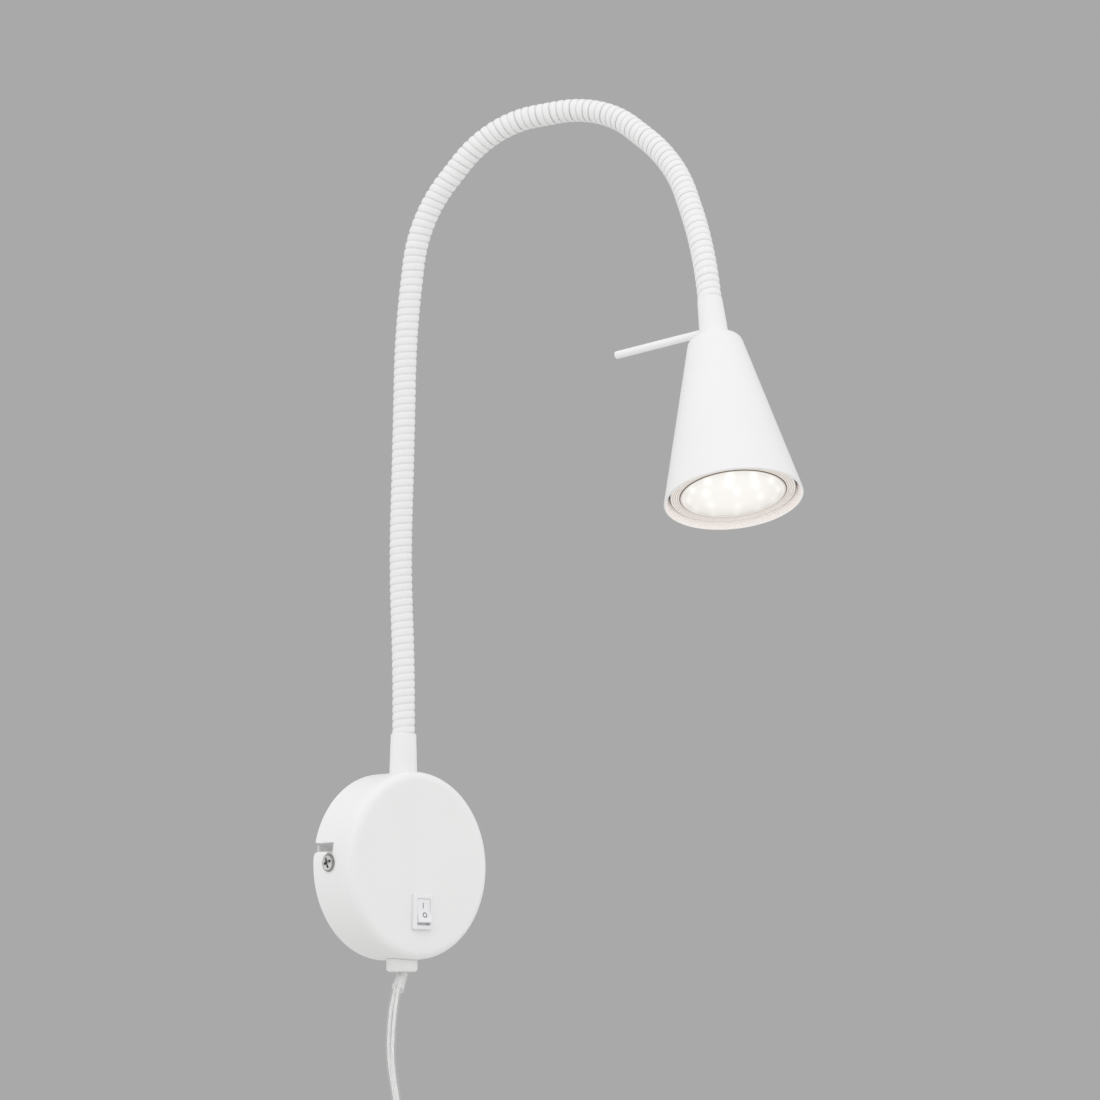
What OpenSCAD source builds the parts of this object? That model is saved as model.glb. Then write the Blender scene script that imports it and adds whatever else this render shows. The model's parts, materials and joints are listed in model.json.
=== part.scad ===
// Plug-in wall lamp: a round canopy with a rocker switch, a bendable ribbed arm and a
// cone shade with a reflector bulb. Millimetres.
// The wall is the plane Y = 0, the lamp stands out towards -Y and +Z is up.
// The origin is the middle of the canopy's back, on the wall.

/* [Canopy] */
// Outside diameter of the canopy
canopy_d = 80; // [76:1:100]
// Distance from the wall to the canopy's front face
canopy_depth = 24; // [23:0.5:32]
// Sheet thickness of the canopy
canopy_wall = 1; // [0.8:0.1:1.4]
// Radius of the canopy's front edge
canopy_edge_r = 4; // [2:0.5:6]
// Width of each bayonet slot
slot_w = 3.8; // [3.7:0.1:4.6]
// Height of a slot's entry above its screw
slot_rise = 6.7; // [5:0.1:8]
// Depth of a slot from the canopy's rear rim
slot_depth = 12; // [11.8:0.2:13]

/* [Wall bracket] */
// Height of the bracket's strip
bracket_h = 16; // [14:1:20]
// Sheet thickness of the bracket
bracket_t = 1.5; // [1:0.1:2]
// Height of each ear, which holds a canopy screw
ear_h = 10; // [8:0.5:11]
// Reach of the ears from the wall
ear_reach = 14; // [13:0.5:16]
// Distance of the canopy screws from the wall
screw_reach = 10; // [9:0.1:10.2]
// Thread diameter of the canopy screws
screw_d = 3.5; // [3:0.1:3.7]
// Head diameter of the canopy screws
screw_head_d = 7.7; // [7:0.1:9]
// Head height of the canopy screws
screw_head_h = 1.4; // [1.2:0.1:3]
// Length of the canopy screws under the head
screw_len = 8; // [6:0.5:10]
// Distance between the two wall screw slots
wall_slot_spacing = 44; // [38:1:48]
// Width of each wall screw slot
wall_slot_w = 4.4; // [4:0.1:5]
// Length of each wall screw slot
wall_slot_len = 8; // [6:0.5:10]

/* [Switch] */
// Distance of the switch below the canopy's middle
switch_drop = 20; // [19:0.5:21]
// Width of the switch bezel
bezel_w = 10.5; // [10.2:0.1:12]
// Height of the switch bezel
bezel_h = 15; // [14.2:0.1:16]
// Height of the bezel above the canopy's front
bezel_t = 2; // [1.5:0.1:2.5]
// Width of the switch body behind the bezel
switch_body_w = 9; // [8.8:0.1:9.4]
// Height of the switch body behind the bezel
switch_body_h = 13.2; // [13:0.1:13.6]
// Depth of the switch body behind the canopy's front
switch_body_depth = 11; // [10:0.5:12]
// Thickness of the switch body's side walls
switch_wall = 0.6; // [0.5:0.05:0.8]
// Width of the rocker
rocker_w = 7.2; // [6.8:0.1:7.3]
// Height of the rocker
rocker_h = 10; // [9.4:0.1:10.4]
// Tilt of the rocker to either side of its middle
rocker_tilt = 8; // [6:0.5:9]
// Diameter of the rocker's trunnions
trunnion_d = 2; // [1.6:0.1:2.4]
// Length of the two switch blades
blade_len = 6; // [5:0.5:7]

/* [Arm] */
// Distance of the arm's foot from the wall
arm_reach = 12; // [11:0.5:13]
// Plan heading of the arm, from straight out towards +X
arm_heading = 20; // [-40:1:40]
// Outside diameter of the arm over its ribs
arm_d = 9.8; // [9.4:0.1:10.4]
// Depth of the grooves between the ribs
groove_depth = 0.7; // [0.4:0.1:0.9]
// Bore of the arm
arm_bore_d = 4.6; // [4.2:0.1:5]
// Length of one arm segment
segment_len = 50; // [44:1:56]
// Ribs on one arm segment
segment_ribs = 14; // [10:1:18]
// Wall of the cup that holds the next segment's ball
cup_wall = 0.8; // [0.6:0.05:1]
// Largest swing of one segment on the next
arm_swing = 20; // [15:1:20]
// Diameter of the two-core lead in the arm
lead_d = 3; // [2.6:0.1:3.4]
// Length of the lower ferrule
ferrule_len = 17; // [15:0.5:20]
// Diameter of the lower ferrule at its top
ferrule_top_d = 11; // [10.8:0.1:12]
// Diameter of the lower ferrule at its foot
ferrule_foot_d = 12; // [11.5:0.1:13]
// Depth that the arm's end goes into a ferrule
socket_depth = 10; // [8:0.5:11]
// Diameter of the threaded studs on both ferrules
stud_d = 8; // [7.5:0.1:8.4]
// Width across flats of the two stud nuts
nut_af = 10; // [9.8:0.1:10.2]
// Height of the two stud nuts
nut_h = 3.5; // [3:0.1:3.6]
// Thickness of the washer in the canopy
washer_t = 1; // [0.8:0.1:1.4]
// Diameter of the washer in the canopy
washer_d = 14; // [13:0.5:16]

/* [Shade] */
// Length of the upper ferrule
head_ferrule_len = 18.5; // [16:0.5:22]
// Diameter of the upper ferrule at the arm
head_ferrule_top_d = 10.2; // [10.1:0.1:11]
// Diameter of the upper ferrule at the shade
head_ferrule_foot_d = 12; // [11.5:0.1:13]
// Length of the shade along its axis
shade_len = 72; // [70:0.5:80]
// Diameter of the shade's top, measured to the corner of its cone
shade_top_d = 21.4; // [21.2:0.1:25]
// Diameter of the shade's mouth
shade_mouth_d = 55.6; // [55.2:0.1:62]
// Sheet thickness of the shade
shade_wall = 1; // [0.7:0.1:1.1]
// Radius of the shade's top edge
shade_edge_r = 3.5; // [2.5:0.1:4]
// Diameter of the handle rod
handle_d = 3.2; // [2.6:0.1:3.6]
// Reach of the handle rod from the shade's axis
handle_reach = 42.5; // [30:0.5:60]
// Height of the handle rod above the shade's top
handle_rise = 4.3; // [3:0.1:5]
// Turn of the handle rod about the shade's axis
handle_turn = -20; // [-180:5:180]

/* [Bulb] */
// Largest diameter of the bulb
bulb_d = 49.6; // [48:0.1:50]
// Length of the bulb without its pins
bulb_len = 46.5; // [44:0.5:48]
// Distance of the bulb's face inside the shade's mouth
bulb_recess = 2; // [1.5:0.1:4]
// Diameter of the bulb's neck
bulb_neck_d = 24; // [22:0.5:25]
// Diameter of the bulb's lens
lens_d = 42; // [40:0.5:44]
// Distance between the bulb's pins
pin_spacing = 10; // [9.6:0.1:10.4]
// Diameter of the pins' heads
pin_head_d = 5; // [4.4:0.1:5.2]
// Diameter of the pins' stems
pin_stem_d = 3.2; // [2.6:0.1:3.4]
// Turn of the bulb from locked to free
bulb_turn = 30; // [20:1:35]
// Diameter of the lamp holder
holder_d = 22; // [21:0.5:22.5]

/* [Cord] */
// Width of the flat twin cord
cord_w = 5.4; // [5:0.1:5.6]
// Thickness of the flat twin cord
cord_t = 3.2; // [2.8:0.1:3.4]
// Diameter of the cord's cores inside the canopy
core_d = 1.8; // [1.4:0.1:2]
// Diameter of the grommet's flange
grommet_d = 13.4; // [12.5:0.1:15]
// Height of the grommet's flange under the canopy
grommet_h = 5; // [4:0.5:6]
// Loops in each of the coil's two layers
coil_turns = 4; // [2:1:5]
// Radius of the coil's outer loops, to the middle of the cord
coil_r = 36; // [34:0.5:44]
// Gap between the coil's neighbouring loops
coil_gap = 0.7; // [0.5:0.1:1]
// Height of the coil's middle below the canopy's middle
coil_drop = 143; // [140:1:170]
// Width of the tie round the coil
tie_w = 8; // [5:0.5:12]
// Thickness of the tie round the coil
tie_t = 1.2; // [0.8:0.1:2]

/* [Plug] */
// Width of the plug
plug_w = 35.2; // [32:0.2:38]
// Thickness of the plug
plug_t = 13.6; // [12:0.2:15]
// Length of the plug's body
plug_len = 40; // [36:0.5:46]
// Diameter of the plug's pins
plug_pin_d = 4; // [3.8:0.1:4.8]
// Length of the plug's pins
plug_pin_len = 19; // [17:0.5:20]
// Distance between the plug's pins
plug_pin_spacing = 18.6; // [17:0.1:20]

/* [Hidden] */
$fn = 48;
segments = 9;

// Clearances: still joints, turning joints, and parts that stay apart
snug = 0.05;
run_gap = 0.3;
part_gap = 0.3;
// Overlap of shapes that are one piece, and reach of a cut past a face
weld = 0.5;
past = 1;
// Length and width of the cross in a screw's head, as shares of the head
cross_run = 0.6;
cross_w = 0.15;

// Canopy
canopy_r = canopy_d / 2;
canopy_in_r = canopy_r - canopy_wall;
ear_x = sqrt(pow(canopy_in_r, 2) - pow(ear_h / 2, 2)) - part_gap;
strip_x = sqrt(pow(canopy_in_r, 2) - pow(bracket_h / 2, 2)) - part_gap;

// Switch, measured from the canopy's front face
cavity_w = switch_body_w - 2 * switch_wall;
cavity_h = rocker_h + 1.8;
pivot_back = 1.6;
rocker_end = 4.3;
rocker_dip = 0.7;
rocker_tail = 2.5;
rocker_tail_h = 3.6;
cavity_back = pivot_back + norm([rocker_tail, rocker_tail_h / 2]) + part_gap;
trunnion_reach = cavity_w / 2 + switch_wall - 0.2;
blade_w = 4.8;
blade_t = 0.8;
blade_rise = 4;
blade_face = blade_rise + blade_t / 2;

// Arm: bends in the arm's plane and sideways, in degrees, from the foot to the head
arm_bend = [-1, 4, 0, 6, 32, 46, 43, 23, 14];
arm_side = [-3, 0, -1, 0, 7, -2, -13, -11, 5];
arm_r = arm_d / 2;
groove_r = arm_r - groove_depth;
bore_r = arm_bore_d / 2;
straight = 5;
arc_len = segment_len - 2 * straight;
cup_roof = 1.1;
cup_r = arm_r - cup_wall;
ball_r = cup_r - run_gap;
rim_z = 1.2;
rim_r = sqrt(pow(cup_r, 2) - pow(rim_z, 2));
neck_r = rim_r * cos(arm_swing) - rim_z * sin(arm_swing) - run_gap;
collar_z = rim_z * cos(arm_swing) + arm_r * sin(arm_swing) + run_gap;
collar_h = 1.4;
cup_top = sqrt(pow(cup_r, 2) - pow(bore_r, 2)) + cup_roof;
rib_sides = 8;
rib_clear = 1.2;
bore_steps = 8;
plain_end_r = arm_r - 0.5;
arm_foot_z = canopy_r + ferrule_len;
lead_r = lead_d / 2;
lead_sides = 6;
lead_step = 6;
lead_back = cup_r;
lead_ahead = 2.5;
stud_r = stud_d / 2;
washer_z = sqrt(pow(canopy_in_r, 2) - pow(washer_d / 2, 2)) - snug;
arm_nut_z = washer_z - washer_t - nut_h;
stud_past = 0.4;
lead_end_z = 24;
lead_start_z = lead_end_z - arm_foot_z;

// Terminal block
block_w = 18;
block_h = 12;
block_depth = 11;
block_z = 4;
pole_x = 4.5;
pole_y = bracket_t + 4.5;
pole_r = 1.4;
block_screw_d = 3;
block_screw_head_d = 5.4;
block_screw_head_h = 1.8;
terminal_screw_d = 3;
terminal_screw_z = 3;
terminal_slot = 0.8;

// Head, measured along the shade's axis from the shade's top
shade_slope = atan((shade_mouth_d - shade_top_d) / 2 / shade_len);
handle_start = bore_r + 0.6;
handle_root_r = handle_d / 2 - 0.25;
bracket_cup_t = 1;
nut_corner_r = nut_af / sqrt(3);
cup_in_r = nut_corner_r + part_gap;
cup_out_r = cup_in_r + bracket_cup_t;
head_nut_z = shade_wall + bracket_cup_t;
head_stud_end = head_nut_z + nut_h + stud_past;
holder_screw_d = 2.5;
holder_screw_head_d = 3.2;
holder_screw_head_h = 1.6;
holder_screw_len = 6;
holder_screw_x = cup_out_r + part_gap + holder_screw_head_d / 2;
bracket_flange_r = holder_screw_x + holder_screw_head_d / 2 + snug;
bracket_rise = 1.5;
holder_z = head_stud_end + bracket_rise + bracket_cup_t;
bulb_face_z = shade_len - bulb_recess;
bulb_base_z = bulb_face_z - bulb_len;
holder_face_z = bulb_base_z - part_gap;
holder_plate = 3;
pin_head_h = 3;
pin_in = holder_plate + 2 * part_gap;
contact_t = 0.5;
contact_w = 3;
cavity_top_z = holder_face_z - pin_in - pin_head_h - part_gap - contact_t;
holder_bore_depth = 3;
lead_in_holder = 1.5;

// Bulb
bulb_r = bulb_d / 2;
neck_r_of_bulb = bulb_neck_d / 2;
bulb_neck_h = 12;
bulb_waist = 5.6;
bulb_bowl_h = 16;
bulb_lip = 1.6;
bulb_lip_h = 6.5;
bulb_rim_h = 2.4;
bulb_bevel = 0.6;
lens_r = lens_d / 2;
// The lip goes round the cup that holds the lens
bulb_skin = 0.35;
bulb_lip_r = max(bulb_r - bulb_lip, lens_r + part_gap + bulb_skin);
bulb_cup_depth = 7;
board_t = 1.6;
chips_inner = 6;
chips_outer = 12;
chips_inner_r = 10.5;
chips_outer_r = 17.5;
chip_w = 2;
chip_t = 0.8;
lens_t = 2.6;
lens_skirt = 1.2;
lens_set = 0.2;

// Cord: route of the free stretch from inside the canopy to the coil, chosen by hand,
// with the turn of the cord's wide side at each point
cord_route = [
    [0, -12, -31], [0, -12, -38], [0, -12, -45], [-3, -12, -53], [-5, -12, -62],
    [-6, -12, -72], [-6, -12, -80], [-5, -12, -88], [-3, -12, -97], [-1, -12, -108],
    [0, -12, -119], [0, -12, -129], [0, -12, -137.6]
];
cord_twist = [-42, -75, -105, -100, -90, -92, -98, -103, -106, -102, -96, -90, -90];
cord_sides = 8;
coil_sides = 6;
coil_rings = 24;
coil_x = coil_r;
coil_pitch = cord_t + coil_gap;
coil_layer = cord_w + coil_gap;
coil_steps = 2 * coil_turns * coil_rings;
coil_lead_in = cord_w;
tail_len = 36;
grommet_edge_r = 1.5;
grommet_neck_d = 9;
grommet_lip = 2;
grommet_lip_d = 12;
cord_bore_d = cord_w + 0.4;
sleeve_gap = 0.35;
sleeve_wall = 0.4;
sleeve_first = 4;
sleeve_steps = 2;
sleeve_slant = 0.6;
stop_h = 3.6;
stop_d = 8;
core_sides = 6;
core_x = core_d / 2 + 0.1;
wire_gap = 0.3;
wire_start = 2;
plug_nose = 10;
plug_shoulder = 8;
plug_neck_w = 10;
plug_bore_depth = 10;

// Turn and bend of one arm segment
function roll_of(k) = atan2(arm_side[k], arm_bend[k]);
function bend_of(k) = norm([arm_bend[k], arm_side[k]]);
function arc_r(k) = arc_len / (bend_of(k) * PI / 180);

// Middle of the arm at a length along segment k, in the plane of its bend
function arc_point(k, s) =
    let (b = bend_of(k), a = b * min(max(s - straight, 0), arc_len) / arc_len)
    let (before = min(s, straight), after = max(s - straight - arc_len, 0))
    let (x = b < 0.01 ? 0 : arc_r(k) * (1 - cos(a)))
    let (z = b < 0.01 ? min(max(s - straight, 0), arc_len) : arc_r(k) * sin(a))
    [x + after * sin(a), 0, before + z + after * cos(a)];
function arc_angle(k, s) = bend_of(k) * min(max(s - straight, 0), arc_len) / arc_len;

// Ring of points round the arm's middle at a length along segment k
function arm_ring(k, s, r, sides) =
    let (c = arc_point(k, s), a = arc_angle(k, s), turn = roll_of(k))
    [for (i = [0:sides - 1])
        let (t = 360 * i / sides - turn)
        let (p = c + r * [cos(t) * cos(a), sin(t), -cos(t) * sin(a)])
        [p.x * cos(turn) - p.y * sin(turn), p.x * sin(turn) + p.y * cos(turn), p.z]];

// Triangles of a tube of rings, and of its flat ends
function tube_sides(rings, sides, first) =
    [for (r = [0:rings - 2], i = [0:sides - 1])
        let (a = first + r * sides + i, b = first + r * sides + (i + 1) % sides)
        each [[a, a + sides, b + sides], [a, b + sides, b]]];
function flipped(faces) = [for (f = faces) [f[0], f[2], f[1]]];
function disc_end(sides, first) = [for (i = [1:sides - 2]) [first, first + i, first + i + 1]];
function ring_end(sides, outer, inner) =
    [for (i = [0:sides - 1])
        let (j = (i + 1) % sides)
        each [[outer + i, outer + j, inner + j], [outer + i, inner + j, inner + i]]];

// Solid tube through a list of rings
module ring_tube(rings) {
    sides = len(rings[0]);
    last = (len(rings) - 1) * sides;
    faces = concat(
        tube_sides(len(rings), sides, 0),
        disc_end(sides, 0),
        flipped(disc_end(sides, last))
    );
    polyhedron(points = [for (ring = rings) each ring], faces = faces);
}

// Tube with a bore, through outer and inner rings that share their end planes
module bored_tube(outer, inner) {
    sides = len(outer[0]);
    first = len(outer) * sides;
    faces = concat(
        tube_sides(len(outer), sides, 0),
        flipped(tube_sides(len(inner), sides, first)),
        ring_end(sides, 0, first),
        flipped(ring_end(sides, first - sides, first + (len(inner) - 1) * sides))
    );
    polyhedron(points = [for (ring = concat(outer, inner)) each ring], faces = faces);
}

// Oval ring round c, square to t, with its wide side along w
function oval_ring(c, t, w, half_w, half_t, sides) =
    let (u0 = w - (w * t) * t, u = u0 / norm(u0), v = cross(t, u))
    [for (i = [0:sides - 1])
        let (a = 360 * i / sides)
        c + half_w * cos(a) * u + half_t * sin(a) * v];
function unit(v) = v / norm(v);
function heading_at(p, i) = unit(p[min(i + 1, len(p) - 1)] - p[max(i - 1, 0)]);

// Points of a smooth curve through a list of points
function between(p, i, f) =
    let (a = p[max(i - 1, 0)], b = p[i], c = p[i + 1], d = p[min(i + 2, len(p) - 1)])
    b + f / 2 * (c - a + f * (2 * a - 5 * b + 4 * c - d + f * (3 * (b - c) + d - a)));
function smooth(p, steps) =
    concat([for (i = [0:len(p) - 2], j = [0:steps - 1]) between(p, i, j / steps)],
        [p[len(p) - 1]]);

// Round wire along a smooth curve, with ends square to its first and last stretch
module wire(points, steps = 3) {
    p = smooth(points, steps);
    last = len(p) - 1;
    function heading(i) =
        i == 0 ? heading_at(points, 0)
        : i == last ? heading_at(points, len(points) - 1)
        : heading_at(p, i);
    ring_tube([for (i = [0:last])
        oval_ring(p[i], heading(i), [0.8, 0.6, 0.1], core_d / 2, core_d / 2, core_sides)]);
}

// Places: along the arm, at the head and at the switch
module across_segment(k) {
    end = arc_point(k, straight + arc_len);
    rotate([0, 0, roll_of(k)])
        translate(end)
            rotate([0, bend_of(k), 0])
                translate([0, 0, straight])
                    rotate([0, 0, -roll_of(k)]) children();
}
module at_segment(k) {
    if (k == 0)
        translate([0, -arm_reach, arm_foot_z]) rotate([0, 0, arm_heading - 90]) children();
    else
        at_segment(k - 1) across_segment(k - 1) children();
}
module at_head() {
    at_segment(segments) children();
}
module at_shade() {
    at_head() translate([0, 0, head_ferrule_len]) children();
}
module at_switch() {
    translate([0, -canopy_depth, -switch_drop]) rotate([90, 0, 0]) children();
}
module both_sides() {
    children();
    rotate([0, 180, 0]) children();
}

// Canopy with its openings
module canopy() {
    color("white") difference() {
        rotate([90, 0, 0]) rotate_extrude() difference() {
            canopy_outline(0);
            canopy_outline(canopy_wall);
        }
        both_sides() bayonet_slot();
        at_switch() cube_about(switch_body_w + 2 * part_gap, switch_body_h + 2 * part_gap,
            -canopy_edge_r, past);
        translate([0, -arm_reach, 0]) cylinder(d = stud_d + 2 * part_gap, h = canopy_d);
        translate([0, -arm_reach, -canopy_d])
            cylinder(d = grommet_neck_d + 2 * part_gap, h = canopy_d);
    }
}
module canopy_outline(inset) {
    r = canopy_r - inset;
    top = canopy_depth - inset;
    edge = canopy_edge_r - inset;
    translate([0, -sign(inset) * past]) square([r, top - edge + sign(inset) * past]);
    square([r - edge, top]);
    translate([r - edge, top - edge]) intersection() {
        circle(edge);
        square(edge);
    }
}
module bayonet_slot() {
    deep = canopy_r - ear_x + past;
    translate([-canopy_r - past, -slot_depth, slot_rise - slot_w / 2])
        cube([deep, slot_depth + past, slot_w]);
    translate([-canopy_r - past, -slot_depth, -slot_w / 2])
        cube([deep, slot_depth - screw_reach + slot_w / 2, slot_rise]);
}
// Box about the axis, from one height to another
module cube_about(w, h, from, to) {
    translate([-w / 2, -h / 2, from]) cube([w, h, to - from]);
}

// Bracket on the wall: a strip with slots for wall screws and an ear at each end
module wall_bracket() {
    color("silver") difference() {
        union() {
            translate([-strip_x, -bracket_t, -bracket_h / 2]) cube([2 * strip_x, bracket_t, bracket_h]);
            translate([-ear_x, -bracket_t, -ear_h / 2]) cube([2 * ear_x, bracket_t, ear_h]);
            both_sides() translate([-ear_x, -ear_reach, -ear_h / 2])
                cube([bracket_t, ear_reach, ear_h]);
        }
        both_sides() translate([-ear_x - past, -screw_reach, 0])
            rotate([0, 90, 0]) cylinder(d = screw_d + 2 * snug, h = bracket_t + 2 * past);
        both_sides() translate([wall_slot_spacing / 2, past, 0])
            rotate([90, 0, 0]) wall_slot(bracket_t + 2 * past);
        translate([0, past, block_z]) rotate([90, 0, 0])
            cylinder(d = block_screw_d + 2 * snug, h = bracket_t + 2 * past);
    }
}
module wall_slot(h) {
    run = wall_slot_len - wall_slot_w;
    translate([-run / 2, -wall_slot_w / 2, 0]) cube([run, wall_slot_w, h]);
    for (x = [-run / 2, run / 2]) translate([x, 0, 0]) cylinder(d = wall_slot_w, h = h);
}

// Screw along +Z with a cross in its head, from the seat of its head
module cross_screw(d, length, head_d, head_h) {
    difference() {
        union() {
            cylinder(d = d, h = length);
            translate([0, 0, -head_h]) cylinder(d = head_d, h = head_h);
        }
        for (turn = [0, 90]) rotate([0, 0, turn])
            cube_about(cross_run * head_d, cross_w * head_d, -head_h - past, -head_h / 2);
    }
}
module canopy_screws() {
    color("silver") both_sides() translate([-canopy_r - snug, -screw_reach, 0])
        rotate([0, 90, 0]) cross_screw(screw_d, screw_len, screw_head_d, screw_head_h);
}

// Turned ferrule along +Z: a socket for the arm's end at the top and a stud below the foot,
// which is coped to the children
module ferrule(length, top_d, foot_d, stud_len) {
    difference() {
        union() {
            difference() {
                cylinder(d1 = foot_d, d2 = top_d, h = length);
                children();
            }
            translate([0, 0, -stud_len]) cylinder(r = stud_r, h = stud_len + 2 * weld);
        }
        translate([0, 0, length - socket_depth])
            cylinder(r = plain_end_r + snug, h = socket_depth + past);
        translate([0, 0, -stud_len - past]) cylinder(r = bore_r, h = stud_len + length);
    }
}
module arm_ferrule() {
    foot_z = canopy_r - foot_sag();
    color("white") translate([0, -arm_reach, foot_z])
        ferrule(ferrule_len + foot_sag(), ferrule_top_d, ferrule_foot_d, foot_z - arm_nut_z + stud_past)
            translate([0, arm_reach, -foot_z]) canopy_side();
}
// Round side of the canopy, which a foot or a flange is cut to
module canopy_side() {
    rotate([90, 0, 0]) cylinder(r = canopy_r + snug, h = canopy_depth);
}
// Drop of the canopy's round side at the edge of the ferrule's foot
function foot_sag() = canopy_r - sqrt(pow(canopy_r, 2) - pow(ferrule_foot_d / 2, 2));

module arm_washer() {
    color("silver") translate([0, -arm_reach, washer_z - washer_t]) difference() {
        cylinder(d = washer_d, h = washer_t);
        translate([0, 0, -past]) cylinder(r = stud_r + snug, h = washer_t + 2 * past);
    }
}
module stud_nut() {
    difference() {
        cylinder(r = nut_corner_r, h = nut_h, $fn = 6);
        translate([0, 0, -past]) cylinder(r = stud_r + snug, h = nut_h + 2 * past);
    }
}
module arm_nut() {
    color("silver") translate([0, -arm_reach, arm_nut_z]) stud_nut();
}

// Switch: housing, rocker and blades
module switch_housing() {
    color("white") at_switch() difference() {
        union() {
            cube_about(bezel_w, bezel_h, 0, bezel_t);
            cube_about(switch_body_w, switch_body_h, -switch_body_depth, weld);
        }
        cube_about(cavity_w, cavity_h, -cavity_back, bezel_t + past);
        translate([-bezel_w, 0, -pivot_back]) rotate([0, 90, 0])
            cylinder(d = trunnion_d + 2 * snug, h = 2 * bezel_w);
    }
}
module switch_rocker() {
    side = rocker_h / 2;
    outline = [
        [-side, rocker_end], [0, rocker_end - rocker_dip], [side, rocker_end], [side, 0],
        [rocker_tail_h / 2, -rocker_tail], [-rocker_tail_h / 2, -rocker_tail], [-side, 0]
    ];
    color("ghostwhite") at_switch() translate([0, 0, -pivot_back]) rotate([-rocker_tilt, 0, 0]) {
        rotate([90, 0, 90]) translate([0, 0, -rocker_w / 2]) linear_extrude(rocker_w) polygon(outline);
        translate([-trunnion_reach, 0, 0]) rotate([0, 90, 0])
            cylinder(d = trunnion_d, h = 2 * trunnion_reach);
    }
}
module switch_terminals() {
    color("gold") at_switch() for (y = [-blade_rise, blade_rise]) translate([0, y, 0])
        cube_about(blade_w, blade_t, -switch_body_depth - blade_len, -switch_body_depth);
}

// Terminal block on the bracket, with its screws
module terminal_block() {
    color("beige") difference() {
        translate([-block_w / 2, -bracket_t - block_depth, block_z - block_h / 2])
            cube([block_w, block_depth, block_h]);
        for (x = [-pole_x, pole_x]) translate([x, -pole_y, block_z - block_h])
            cylinder(r = pole_r, h = 2 * block_h);
        at_terminal_screws() cylinder(d = terminal_screw_d + 2 * snug, h = block_depth / 2);
        translate([0, 0, block_z]) rotate([90, 0, 0])
            cylinder(d = block_screw_d + 2 * snug, h = canopy_depth);
    }
}
module at_terminal_screws() {
    for (x = [-pole_x, pole_x], z = [-terminal_screw_z, terminal_screw_z])
        translate([x, -bracket_t - block_depth - snug, block_z + z]) rotate([-90, 0, 0]) children();
}
module terminal_screws() {
    color("silver") at_terminal_screws()
        difference() {
            cylinder(d = terminal_screw_d, h = bracket_t + block_depth - pole_y - core_d / 2 - part_gap);
            cube_about(cross_run * terminal_screw_d, cross_w * terminal_screw_d, -past, terminal_slot);
        }
}
module block_screw() {
    color("silver") translate([0, -bracket_t - block_depth, block_z]) rotate([-90, 0, 0])
        cross_screw(block_screw_d, block_depth + bracket_t, block_screw_head_d, block_screw_head_h);
}

// Wires in the canopy: from the arm's lead, the cord and the switch to the terminal block
pole_end = block_h / 2 - 5;
module lead_cores() {
    color("saddlebrown") for (side = [-1, 1]) wire([
        [side * core_x, -arm_reach, lead_end_z - wire_gap],
        [side * core_x, -arm_reach, lead_end_z - wire_start],
        [side * 3, -(arm_reach + pole_y) / 2, (lead_end_z + block_z + block_h / 2) / 2],
        [side * pole_x, -pole_y, block_z + block_h / 2 + 2],
        [side * pole_x, -pole_y, block_z + pole_end]
    ]);
}
module live_wire() {
    color("saddlebrown") wire([
        core_at_cord_end(-1, wire_gap), core_at_cord_end(-1, wire_start),
        [-1, -arm_reach + 3, -switch_drop - blade_rise - 3.5],
        [0, -blade_mid, -switch_drop - blade_face - wire_start],
        [0, -blade_mid, -switch_drop - blade_face - wire_gap]
    ]);
}
module switched_wire() {
    color("black") wire([
        [0, -blade_mid, -switch_drop + blade_face + wire_gap],
        [0, -blade_mid, -switch_drop + blade_face + wire_start],
        [-pole_x + 0.6, -pole_y, block_z - block_h / 2 - 4],
        [-pole_x, -pole_y, block_z - block_h / 2 - 1.5],
        [-pole_x, -pole_y, block_z - pole_end]
    ]);
}
module neutral_wire() {
    color("royalblue") wire([
        core_at_cord_end(1, wire_gap), core_at_cord_end(1, wire_start),
        [switch_body_w / 2 + 2, -arm_reach + 2.5, -switch_drop - 6],
        [switch_body_w / 2 + 2, -arm_reach + 4, -switch_drop + 2],
        [pole_x + 0.6, -pole_y, block_z - block_h / 2 - 4],
        [pole_x, -pole_y, block_z - block_h / 2 - 1.5],
        [pole_x, -pole_y, block_z - pole_end]
    ]);
}
blade_mid = canopy_depth - switch_body_depth - blade_len * 0.7;
function core_at_cord_end(side, rise) =
    cord_route[0] + side * cord_w / 4 * [cos(cord_twist[0]), sin(cord_twist[0]), 0] + [0, 0, rise];

// Grommet, with a lip inside the canopy, and the stop that keeps the cord in
module cord_grommet() {
    color("white") translate([0, -arm_reach, 0]) difference() {
        union() {
            difference() {
                translate([0, 0, -canopy_r - grommet_h])
                    rounded_foot(grommet_d / 2, grommet_h + past, grommet_edge_r);
                translate([0, arm_reach, 0]) canopy_side();
            }
            translate([0, 0, -canopy_r - weld])
                cylinder(d = grommet_neck_d, h = canopy_r + weld + lip_z + grommet_lip);
            translate([0, 0, lip_z]) cylinder(d = grommet_lip_d, h = grommet_lip);
        }
        translate([0, 0, -canopy_d]) cylinder(d = cord_bore_d, h = canopy_d);
    }
}
lip_z = -sqrt(pow(canopy_in_r, 2) - pow(grommet_lip_d / 2, 2)) + snug;
module rounded_foot(r, h, edge) {
    rotate_extrude() {
        translate([0, edge]) square([r, h - edge]);
        square([r - edge, h]);
        translate([r - edge, edge]) intersection() {
            circle(edge);
            translate([0, -edge]) square(edge);
        }
    }
}
module cord_stop() {
    color("gainsboro") translate([0, -arm_reach, lip_z + grommet_lip]) difference() {
        cylinder(d = stop_d, h = stop_h);
        translate([0, 0, -past]) cylinder(d = cord_bore_d, h = stop_h + 2 * past);
    }
}
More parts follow.
